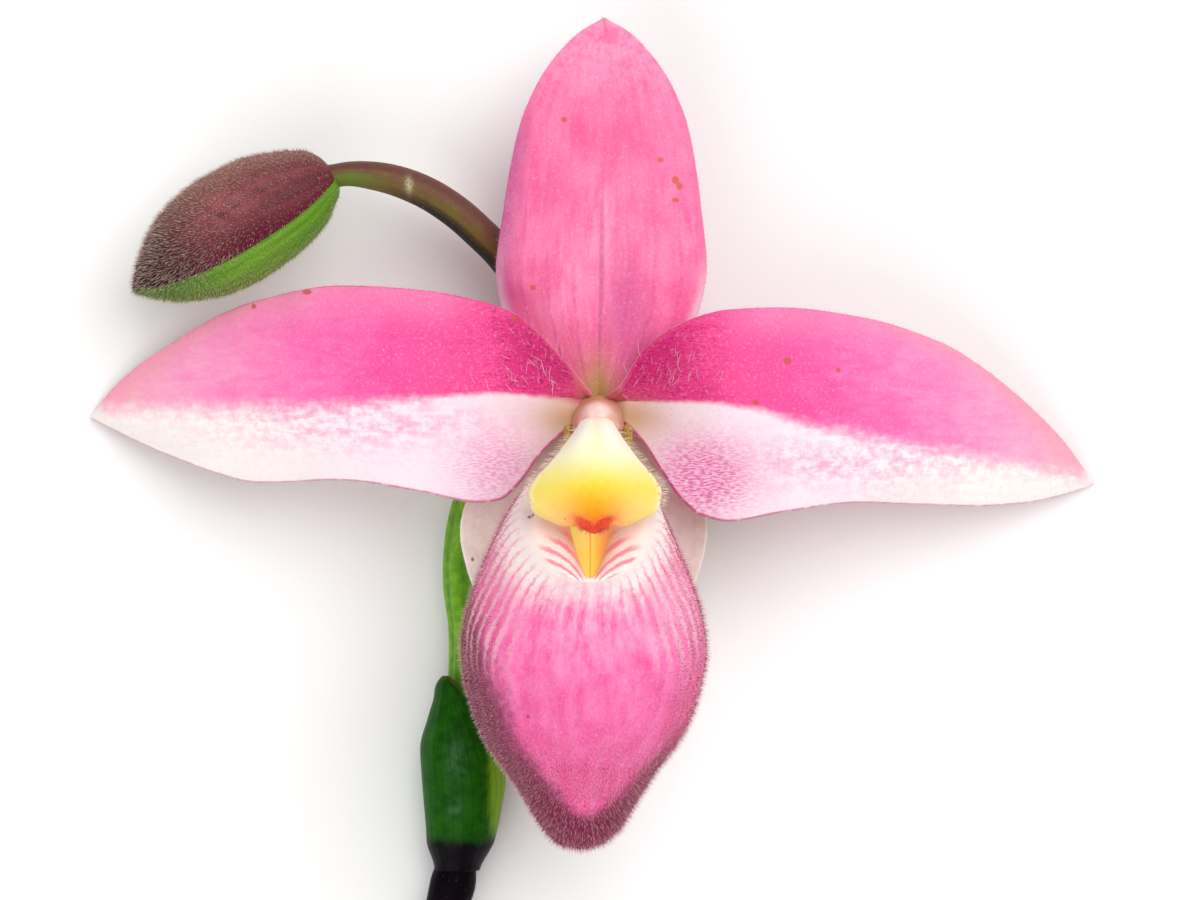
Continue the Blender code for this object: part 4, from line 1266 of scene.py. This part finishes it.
def antherFinish():
    skin = Finish("antherSkin", Specular_IOR_Level=0.3)
    grain = skin.noise(6.0, 4.0, 0.65)
    colour = skin.mix(skin.step(grain, 0.35, 0.65), (132, 88, 34), (216, 176, 92))
    return skin.finish(colour, grain * 0.2 + 0.5, grain, 0.08, 0.8)


def stigmaFinish():
    skin = Finish("stigmaSkin", Coat_Weight=0.4, **creamFlesh)
    grain = skin.noise(4.0, 3.0, 0.6)
    colour = skin.mix(skin.step(grain, 0.35, 0.7), (196, 206, 130), (230, 232, 184))
    return skin.finish(colour, grain * 0.2 + 0.2, grain, 0.05, 0.6)


stalk = {
    "stem": (
        (-17.6, -64.0, 1.62, 1.7), (-16.1, -56.5, 1.62, 1.7), (-14.4, -49.5, 1.85, 1.7),
        (-12.6, -42.0, 2.4, 1.68), (-11.85, -39.4, 2.68, 1.86),
        (-11.5, -37.6, 2.76, 1.6), (-10.9, -34.8, 2.75, 1.4),
        (-10.3, -30.8, 2.45, 1.2), (-9.3, -26.0, 2.15, 1.2), (-7.8, -19.5, 1.9, 1.2),
        (-6.2, -10.5, 1.6, 1.2), (-5.2, -3.0, 1.8, 1.15), (-4.8, 1.4, 2.5, 1.15), (-4.9, 5.4, 3.3, 1.15),
    ),
    "ovary": (
        (-11.85, -31.0, 4.35, 0.9), (-11.4, -27.6, 4.4, 1.1), (-10.9, -22.8, 4.1, 1.3),
        (-10.6, -18.4, 3.9, 1.6), (-10.8, -14.2, 4.0, 1.85), (-10.3, -9.8, 4.3, 1.9),
        (-8.8, -5.9, 4.7, 1.85), (-6.4, -3.2, 4.9, 1.8), (-3.7, -2.2, 5.2, 1.75),
        (-1.3, -2.0, 6.5, 1.7), (-0.2, -2.0, 8.4, 1.65),
    ),
    "bud": (
        (-5.05, 6.1, 3.55, 1.15), (-6.2, 9.3, 4.7, 1.25), (-7.9, 11.9, 5.7, 1.35), (-9.6, 13.6, 6.5, 1.37),
        (-11.3, 15.1, 7.1, 1.37), (-14.4, 17.0, 7.9, 1.33), (-17.6, 18.0, 8.3, 1.2), (-21.0, 18.1, 8.5, 0.97),
        (-21.8, 17.85, 8.5, 1.1), (-22.5, 17.45, 8.5, 1.0),
    ),
    # (shift along, share of the girth, how bare the pith is) at the rings of the flat cut end
    "cutEnd": (
        (0.0, 0.03, 1.0), (0.02, 0.35, 1.0), (0.04, 0.7, 1.0), (0.08, 0.9, 0.6), (0.16, 0.97, 0.0),
    ),
    "sides": 48,
}


def makeStalkTree():
    # a tube along a line whose girth and other values are kept on its points, with low ribs
    tree = Tree("growStalk", (
        ("Line", "Geometry", None), ("Sides", "Int", 48), ("Ribs", "Float", 6.0),
        ("Rib depth", "Float", 0.05), ("Finish", "Material", None),
    ), "Stalk")
    given = tree.given
    line = tree.node("GeometryNodeMeshToCurve", None, {"Mesh": given["Line"]})
    ring = tree.node("GeometryNodeCurvePrimitiveCircle", None, {"Resolution": given["Sides"], "Radius": 1.0})
    place = tree.node("GeometryNodeInputPosition")
    split = tree.node("ShaderNodeSeparateXYZ", None, {0: place}).node.outputs
    angle = tree.maths("ARCTAN2", split[1], split[0])
    swell = tree.maths("COSINE", tree.maths("MULTIPLY", angle, given["Ribs"]))
    depth = tree.maths("MULTIPLY", given["Rib depth"], 0.5)
    offset = tree.scaled(place, tree.maths("MULTIPLY", tree.maths("SUBTRACT", swell, 1.0), depth))
    profile = tree.store(tree.moved(ring, offset), "rib", swell)
    return tree.finish(tree.node(
        "GeometryNodeCurveToMesh",
        None,
        {"Curve": line, "Profile Curve": profile, "Scale": tree.kept("girth"), "Fill Caps": True},
    ))


stalkTree = makeStalkTree()


def growStalk(name, stations, count, ribs, depth, material, cutEnd=False, lowest=None):
    at, rows = evenRoute(stations, count)
    cut = np.zeros(count)
    if cutEnd:
        shift, share, bare = np.array(stalk["cutEnd"]).T
        step = unit((rows[1] - rows[0])[:3])
        ends = np.column_stack([rows[0][:3] + shift[:, None] * step, rows[0][3] * share])
        rows = np.concatenate([ends, rows[1:]])
        at = np.concatenate([np.zeros(len(ends)), at[1:]])
        cut = np.concatenate([bare, np.zeros(count - 1)])
    points = (rows[:, :3] + flowerAt) * mm
    mesh = bpy.data.meshes.new(name + "Line")
    mesh.from_pydata(points.tolist(), [(i, i + 1) for i in range(len(points) - 1)], [])
    keep(mesh, "girth", rows[:, 3] * mm)
    keep(mesh, "along", at)
    keep(mesh, "cut", cut)
    given = {"Sides": stalk["sides"], "Ribs": float(ribs), "Rib depth": depth, "Finish": material}
    piece = stalkTree.grow(name, mesh, given)
    if lowest is not None:
        for vertex in piece.data.vertices:
            vertex.co.z = max(vertex.co.z, lowest * mm)
    return piece


def stemFinish():
    skin = Finish("stemSkin", Specular_IOR_Level=0.04)
    along = skin.value("along")
    fine = skin.noise(1.2, 5.0, 0.65)
    grain = skin.noise(5.0, 3.0)
    streaks = skin.noise(1.0, 3.0, 0.6, skin.along(along * 0.35, skin.value("rib") * 2.0, 4.0))
    dark = skin.mix(skin.step(streaks, 0.35, 0.7), (3, 1, 5), (14, 5, 15))
    green = skin.mix(skin.step(fine, 0.35, 0.7), (30, 52, 14), (56, 78, 26))
    where = along + (fine - 0.5) * 9.0
    colour = skin.mix(skin.step(where, 10.0, 2.0), dark, green)
    colour = skin.mix(skin.step(where, 36.0, 46.0), colour, green)
    colour = skin.mix(skin.step(grain, 0.64, 0.75) * 0.3, colour, (104, 92, 84))
    pith = skin.mix(skin.step(skin.cells(2.6), 0.34, 0.16), (170, 184, 112), (112, 130, 64))
    colour = skin.mix(skin.value("cut"), colour, pith)
    return skin.finish(colour, fine * 0.25 + 0.35, fine + grain * 0.5, 0.04, 0.6)


def ovaryFinish():
    skin = Finish("ovarySkin", **greenFlesh)
    along = skin.value("along")
    fine = skin.noise(1.3, 4.0, 0.6)
    grain = skin.noise(5.0, 3.0)
    colour = skin.mix(skin.step(fine, 0.3, 0.7), (92, 154, 22), (130, 186, 40))
    # darker green down in the grooves between the ribs: painted shade
    colour = skin.mix(skin.step(skin.value("rib"), 0.2, -0.9) * 0.45, colour, (62, 118, 14))
    colour = skin.mix(skin.step(along, 10.0, 2.0) * 0.6, colour, (62, 118, 20))
    colour = skin.mix(skin.step(along, 30.0, 38.0) * 0.7, colour, (168, 170, 92))
    return skin.finish(colour, grain * 0.15 + 0.4, grain + fine, 0.03, 0.5)


def budStalkFinish():
    skin = Finish("budStalkSkin", Subsurface_Weight=0.08, Subsurface_Scale=0.0005, Specular_IOR_Level=0.25)
    along = skin.value("along")
    fine = skin.noise(1.1, 5.0, 0.65)
    grain = skin.noise(6.0, 3.0)
    high = skin.value("highSide")
    colour = skin.mix(skin.step(fine + high * 0.3, 0.3, 0.8), (104, 88, 28), (108, 66, 48))
    colour = skin.mix(skin.step(high + (fine - 0.5) * 0.5, 0.4, 0.9) * 0.8, colour, (102, 58, 50))
    # painted shade: the underside, facing away from the light, goes nearly black
    colour = skin.mix(skin.value("lowSide"), colour, (14, 14, 10))
    green = skin.step(along, 17.5, 21.5) * skin.step(high, 0.55, 0.0)
    colour = skin.mix(green * 0.85, colour, (92, 116, 30))
    colour = skin.mix(skin.value("scar") * skin.step(grain, 0.3, 0.5), colour, (190, 180, 146))
    colour = skin.mix(skin.step(grain, 0.6, 0.75) * 0.3, colour, (160, 130, 104))
    return skin.finish(colour, fine * 0.2 + 0.4, fine + grain * 0.5, 0.04, 0.6)


def paintFromPlace(piece, key, rule):
    # a value on every point, worked out from its place in mm from the middle and its normal
    mesh = piece.data
    co = np.empty(len(mesh.vertices) * 3, np.float32)
    mesh.vertices.foreach_get("co", co)
    normals = np.empty(len(mesh.vertices) * 3, np.float32)
    mesh.vertex_normals.foreach_get("vector", normals)
    place = co.reshape(-1, 3) / mm - flowerAt
    keep(mesh, key, rule(*place.T, normals.reshape(-1, 3)))


bract = {
    # (share, x, y, z, half width, half depth, half wrap in degrees)
    "lower": (
        (0.0, -11.5, -38.3, 2.72, 2.25, 2.2, 172), (0.1, -11.3, -36.7, 2.85, 2.4, 2.35, 168),
        (0.25, -11.05, -34.2, 3.1, 2.75, 2.7, 160), (0.42, -10.95, -31.2, 3.25, 3.1, 3.0, 150),
        (0.58, -10.95, -28.4, 3.42, 3.25, 3.1, 130), (0.74, -11.0, -25.9, 3.95, 2.6, 2.6, 100),
        (0.88, -11.0, -23.9, 4.1, 2.1, 2.2, 60), (1.0, -10.95, -22.3, 4.1, 2.05, 2.15, 8),
    ),
    "upper": (
        (0.0, -4.9, 0.2, 2.3, 1.85, 1.8, 168), (0.25, -4.85, 2.8, 2.8, 1.95, 1.9, 150),
        (0.5, -4.95, 5.6, 3.45, 2.05, 2.0, 115), (0.75, -5.6, 8.2, 4.35, 2.1, 2.05, 75),
        (1.0, -6.6, 10.8, 5.2, 2.1, 2.1, 6),
    ),
    "lowerKeel": math.radians(132),
    "upperKeel": math.radians(15),
    "nerves": 22,
    "thick": 0.6,
    "counts": (110, 96),
}


def bractFinish():
    skin = Finish("bractSkin", Specular_IOR_Level=0.07, Coat_Weight=0.02, Coat_Roughness=0.2)
    along = skin.value("along")
    across = skin.value("across")
    fine = skin.noise(0.9, 4.0, 0.6)
    grain = skin.noise(5.0, 3.0)
    colour = skin.mix(skin.step(fine, 0.3, 0.7), (16, 72, 1), (30, 96, 4))
    lit = skin.step(skin.value("lit") + (fine - 0.5) * 0.4, 0.2, 0.9)
    colour = skin.mix(lit * 0.9, colour, (122, 166, 24))
    # painted highlight: a bluish-white gloss reflection on the sheath
    bluish = skin.value("bluish") * skin.step(fine, 0.3, 0.65)
    colour = skin.mix(bluish * 0.35, colour, (92, 138, 108))
    nerves = skin.step(skin.wave(across * 69.0), 0.75, 1.0)
    colour = skin.mix(nerves * 0.25, colour, (12, 44, 6))
    purple = skin.value("purple") + (fine - 0.5) * 1.3
    colour = skin.mix(skin.step(purple, 0.2, 0.8), colour, (7, 2, 9))
    margin = skin.step(skin.value("edge"), 0.5, 0.1) * skin.step(along, 0.1, 0.3)
    colour = skin.mix(margin * 0.4, colour, (120, 134, 54))
    return skin.finish(colour, fine * 0.2 + 0.3, fine * 0.6 + grain * 0.3 + nerves * 0.4, 0.04, 0.6)


def makeBract(name, stations, keel, node, material, purpleTo, lift, tighten):
    t, w = leafGrid(bract["counts"])
    x, y, z, halfWidth, halfDepth, wrap = (curveThrough(stations, k)(t) for k in range(1, 7))
    turn = keel + w * np.radians(wrap)
    nerves = 0.03 * np.cos(np.pi * bract["nerves"] * w) * np.sin(np.pi * t)
    keelLine = 0.12 * ridge(w, 0.08) * softStep(t, 0.2, 0.9)
    flare = lift * softStep(np.abs(w), 0.7, 1.0) * np.sin(np.pi * t)
    grown = nerves + keelLine + flare - tighten * softStep(t, 0.16, 0.0)
    px = x + (halfWidth + grown) * np.cos(turn)
    pz = np.maximum(z + (halfDepth + grown) * np.sin(turn), bract["thick"] / 2)
    middle = np.stack([px, y, pz], axis=-1)
    values = {
        "along": t,
        "across": w,
        "lit": softStep(px, -9.8, -8.2) * softStep(t, 0.0, 0.3),
        "purple": softStep(t, purpleTo + 0.12, purpleTo - 0.1) * 1.3,
        "bluish": spot(px, y, (-11.4, -28.9), (0.7, 1.5)) + spot(px, y, (-11.6, -32.9), (0.5, 0.7)),
    }
    thick = bract["thick"] * (1 - 0.4 * w ** 2) * (0.4 + 0.6 * softStep(t, 0.0, 0.16))
    return ride(leaf(name, middle, thick, values, material), "bract_green", node)


bud = {
    "base": (-21.6, 17.9, 8.5),
    "tip": (-37.5, 8.8, 8.1),
    "outline": (
        (-0.012, 0.8, 0.7), (-0.006, 1.4, 1.1), (0.004, 1.95, 1.5), (0.018, 2.4, 1.75),
        (0.04, 2.85, 2.05), (0.11, 3.6, 2.95), (0.2, 4.3, 3.6), (0.345, 4.95, 4.1),
        (0.5, 5.0, 4.25), (0.63, 4.65, 4.0), (0.74, 4.0, 3.35), (0.83, 2.95, 2.6), (0.94, 1.2, 1.15),
        (1.0, 0.0, 0.0),
    ),
    "depth": 0.92,
    "seam": math.radians(28),
    "keel": 0.22,
    "thick": 0.5,
    "counts": (110, 110),
}


def budSurface(t, turn, sink):
    base = np.array(bud["base"])
    tip = np.array(bud["tip"])
    along = unit(tip - base)
    up = unit(np.cross(along, np.array((0.0, 0.0, 1.0))))
    front = np.cross(up, along)
    above = curveThrough(bud["outline"], 1)(t)
    below = curveThrough(bud["outline"], 2)(t)
    side = np.where(np.cos(turn) > 0, above, below)
    keel = bud["keel"] * np.maximum(0.0, np.cos(2 * (turn - bud["seam"]))) ** 6 * np.sin(np.pi * t)
    lift = (side + keel - sink) * np.cos(turn)
    deep = (bud["depth"] * (above + below) / 2 - sink) * np.sin(turn)
    closing = np.where(t > 0.99, softStep(t, 1.0, 0.97), 1.0)[..., None]
    point = base + t[..., None] * (tip - base)
    return point + (lift[..., None] * up + deep[..., None] * front) * closing


def makeBudSepal(name, middleTurn, reach, sunk, node, slot, material):
    t, w = leafGrid(bud["counts"], -0.012)
    turn = middleTurn + w * math.radians(reach)
    tuck = softStep(np.abs(w) * reach, 90.0, 100.0) * sunk
    veins = 0.035 * np.cos(math.radians(reach) * w * 22) * np.sin(np.pi * t) * softStep(np.abs(w), 1.0, 0.8)
    middle = budSurface(t, turn, tuck + bud["thick"] / 2 - veins)
    shown = softStep(np.abs(w) * reach, 95.0, 88.0) * softStep(t, 0.0, 0.04)
    values = {
        "along": t,
        "across": w,
        "pelt": shown * (0.6 + 0.4 * softStep(t, 0.3, 0.85)),
        "hairSize": 0.75 + 0.25 * softStep(t, 0.2, 0.9),
        "sheen": spot(w, t, (0.4, 0.48), (0.28, 0.3)),
        "wine": spot(w, t, (0.9, 0.36), (0.17, 0.4)),
        "brow": spot(w, t, (-0.15, 0.4), (0.32, 0.5)),
        "comb": np.broadcast_to(unit(np.array(bud["tip"]) - np.array(bud["base"])), (*t.shape, 3)),
    }
    piece = leaf(name, middle, bud["thick"], values, material, up=1.0)
    return ride(piece, slot, node)


def budPlumFinish():
    skin = Finish("budPlumSkin", Specular_IOR_Level=0.15)
    along = skin.value("along")
    across = skin.value("across")
    fine = skin.noise(1.2, 5.0, 0.65)
    grain = skin.noise(5.0, 3.0)
    streaks = skin.noise(1.0, 3.0, 0.6, skin.along(along * 3.0, across * 12.0, 2.0))
    colour = skin.mix(skin.step(streaks, 0.35, 0.7), (90, 36, 40), (124, 56, 62))
    colour = skin.mix(skin.value("sheen") * skin.step(fine, 0.25, 0.65) * 0.75, colour, (166, 92, 100))
    colour = skin.mix(skin.value("wine") * 0.85, colour, (92, 10, 38))
    # darker towards the tip: painted shade at the end away from the light
    colour = skin.mix(skin.step(along + (fine - 0.5) * 0.25, 0.5, 0.9) * 0.85, colour, (22, 8, 14))
    colour = skin.mix(skin.value("brow") * 0.75, colour, (170, 128, 116))
    colour = skin.mix(skin.step(skin.value("edge"), 0.22, 0.06) * 0.6, colour, (108, 100, 36))
    return skin.finish(colour, grain * 0.2 + 0.45, grain + streaks, 0.05, 0.7)


def budGreenFinish():
    skin = Finish("budGreenSkin", **greenFlesh)
    along = skin.value("along")
    across = skin.value("across")
    fine = skin.noise(1.2, 5.0, 0.65)
    grain = skin.noise(5.0, 3.0)
    streaks = skin.noise(1.0, 3.0, 0.6, skin.along(along * 3.0, across * 12.0, 9.0))
    colour = skin.mix(skin.step(streaks, 0.3, 0.7), (84, 140, 22), (116, 166, 44))
    # darker towards the tip: painted shade at the end away from the light
    colour = skin.mix(skin.step(along + (fine - 0.5) * 0.3, 0.5, 0.95) * 0.75, colour, (54, 84, 22))
    colour = skin.mix(skin.step(across * across, 0.5, 0.0) * 0.3, colour, (124, 138, 74))
    return skin.finish(colour, grain * 0.2 + 0.45, grain + streaks, 0.05, 0.7)


print("petals")
leftSpecks = ((-23.4, 8.7, 0.4, 0.2), (-27.8, 7.6, 0.2, 0.2), (-6.7, 6.4, 0.25, 0.2))
rightSpecks = ((15.1, 3.1, 0.35, 0.3), (12.6, -0.2, 0.25, 0.2), (19.2, 2.4, 0.2, 0.2))
leftPetal = makePetal(
    "petalLeft", petal["left"], petal["leftBlush"], -1.0, (7.9, -5.4), 0.62, (19.0, -2.0), (4.6, 3.9),
    "petal_left", petalFinish("Left", leftSpecks),
)
rightPetal = makePetal(
    "petalRight", petal["right"], petal["rightBlush"], 1.0, (8.3, -6.2), 1.35, (20.0, -5.0), (4.9, 3.3),
    "petal_right", petalFinish("Right", rightSpecks),
)

print("sepals")
dorsalBlade = makeDorsal(dorsalFinish())
synsepalBlade = makeSynsepal(synsepalFinish())

print("pouch")
pouchShell = makePouch(pouchFinish())
pouchThroat = makeThroat(throatFinish())

print("column")
staminodeShield = makeStaminode(staminodeFinish())
makeColumn(columnFinish())
antherSkin = antherFinish()
makeAnther("antherLeft", -1.0, "anther_left", antherSkin)
makeAnther("antherRight", 1.0, "anther_right", antherSkin)
makeStigma(stigmaFinish())

print("stalks")
stem = growStalk("stemBody", stalk["stem"], 150, 18, 0.03, stemFinish(), cutEnd=True, lowest=0.0)
ride(stem, "stem_dark", "stem")
ovary = growStalk("ovaryBody", stalk["ovary"], 110, 6, 0.13, ovaryFinish())
ride(ovary, "ovary_green", "ovary")
budStalk = growStalk("budStalkBody", stalk["bud"], 90, 14, 0.025, budStalkFinish())
upward = np.array((0.5, 0.8, 0.33))
downward = np.array((-0.62, -0.78, 0.0))


def budStalkUndersideShade(x, y, z, n):
    return softStep(n @ downward, 0.3, 0.78) * softStep(x, -18.5, -13.0)


paintFromPlace(budStalk, "highSide", lambda x, y, z, n: softStep(n @ upward, 0.1, 0.95))
paintFromPlace(budStalk, "lowSide", budStalkUndersideShade)
paintFromPlace(budStalk, "scar", lambda x, y, z, n: spot(x, y, (-15.2, 17.3), (0.25, 0.6)) * (z > 8.0))
ride(budStalk, "stalk_olive", "bud_stalk")

print("bracts")
bractSkin = bractFinish()
makeBract("bractLowerLeaf", bract["lower"], bract["lowerKeel"], "bract_lower", bractSkin, 0.14, 0.1, 0.5)
makeBract("bractUpperLeaf", bract["upper"], bract["upperKeel"], "bract_upper", bractSkin, -0.2, 0.1, 0.3)

print("bud")
plumSepal = makeBudSepal(
    "budPlumSepal", bud["seam"], 92.0, 0.0, "bud_dorsal_sepal", "bud_plum", budPlumFinish()
)
greenSepal = makeBudSepal(
    "budGreenSepal", bud["seam"] + math.pi, 104.0, 0.35, "bud_synsepal", "bud_green", budGreenFinish()
)

print("hairs")
paleHair = hairFinish("paleHair", (196, 66, 120), (255, 216, 218))
whiteHair = hairFinish("whiteHair", (250, 214, 228), (255, 246, 246))
fuzzHair = hairFinish("fuzzHair", (232, 120, 176), (250, 214, 226))
velvetHair = hairFinish("velvetHair", (196, 44, 124), (238, 120, 182))
budHair = hairFinish("budHair", (164, 116, 108), (255, 234, 216))
greenHair = hairFinish("greenHair", (120, 150, 66), (240, 236, 186))
redHair = hairFinish("redHair", (222, 66, 54), (255, 190, 172))
lashHair = hairFinish("lashHair", (248, 224, 200), (255, 248, 236))


hairRows = (
    ("pouchHairs", pouchShell, "pelt", paleHair, "pouch", "pouch_rose"),
    ("budPlumHairs", plumSepal, "pelt", budHair, "budPlum", "bud_plum"),
    ("budGreenHairs", greenSepal, "pelt", greenHair, "budGreen", "bud_green"),
    ("petalFuzzLeft", leftPetal, "fuzz", fuzzHair, "fuzz", "petal_rose"),
    ("petalFuzzRight", rightPetal, "fuzz", fuzzHair, "fuzz", "petal_rose"),
    ("petalVelvetLeft", leftPetal, "velvet", velvetHair, "velvet", "petal_rose"),
    ("petalVelvetRight", rightPetal, "velvet", velvetHair, "velvet", "petal_rose"),
    ("petalWhiskersLeft", leftPetal, "whiskers", whiteHair, "whiskers", "petal_rose"),
    ("petalWhiskersRight", rightPetal, "whiskers", whiteHair, "whiskers", "petal_rose"),
    ("dorsalFuzz", dorsalBlade, "fuzz", fuzzHair, "fuzz", "sepal_rose"),
    ("dorsalVelvet", dorsalBlade, "velvet", velvetHair, "velvet", "sepal_rose"),
    ("synsepalFuzz", synsepalBlade, "fuzz", lashHair, "fuzz", "synsepal_pale"),
    ("staminodeLashes", staminodeShield, "lashes", lashHair, "lashes", "staminode_yellow"),
    ("staminodeBeard", staminodeShield, "beard", redHair, "beard", "staminode_yellow"),
)
for seed, (name, skin, field, material, kind, slot) in enumerate(hairRows, 11):
    ride(growHairs(name, skin, field, material, kind, seed), slot)

print("stage")
stage = {
    "floorSize": 4.0,
    "floorDrop": 0.00003,
    "aim": (0.0, 0.01, 0.01),  # m, where both lights point
    "camera": (0.61, 12.77, 411.0),  # mm
    "lens": 150.0,
    "sensor": 36.0,
}


def floorFinish():
    skin = Finish("paleFloor", Specular_IOR_Level=0.1, Roughness=0.9)
    fine = skin.noise(0.02, 3.0)
    return skin.finish(skin.mix(skin.step(fine, 0.2, 0.8), (251, 251, 250), (253, 253, 252)), 0.9)


half = stage["floorSize"] / 2
floorMesh = bpy.data.meshes.new("paleFloor")
corners = [(-half, -half), (half, -half), (half, half), (-half, half)]
floorMesh.from_pydata([(x, y, -stage["floorDrop"]) for x, y in corners], [], [(0, 1, 2, 3)])
floorMesh.materials.append(floorFinish())
addObject("paleFloor", floorMesh)


def areaLight(name, at, size, power):
    light = bpy.data.lights.new(name, "AREA")
    light.shape = "DISK"
    light.size = size
    light.energy = power
    holder = addObject(name, light)
    holder.location = at
    aim = Vector(stage["aim"]) - Vector(at)
    holder.rotation_euler = aim.to_track_quat("-Z", "Y").to_euler()


areaLight("keyLight", (0.32, 0.38, 0.8), 0.9, 6.0)
areaLight("fillLight", (-0.35, -0.5, 0.6), 0.9, 2.6)

world = bpy.data.worlds.new("studio")
world.use_nodes = True
sky = world.node_tree.nodes["Background"]
sky.inputs["Color"].default_value = (1.0, 1.0, 1.0, 1.0)
sky.inputs["Strength"].default_value = 0.48
bpy.context.scene.world = world
bpy.context.scene.view_settings.view_transform = "Standard"

cameraData = bpy.data.cameras.new("camera")
cameraData.lens = stage["lens"]
cameraData.sensor_width = stage["sensor"]
camera = addObject("camera", cameraData)
camera.location = [part * mm for part in stage["camera"]]
bpy.context.scene.camera = camera
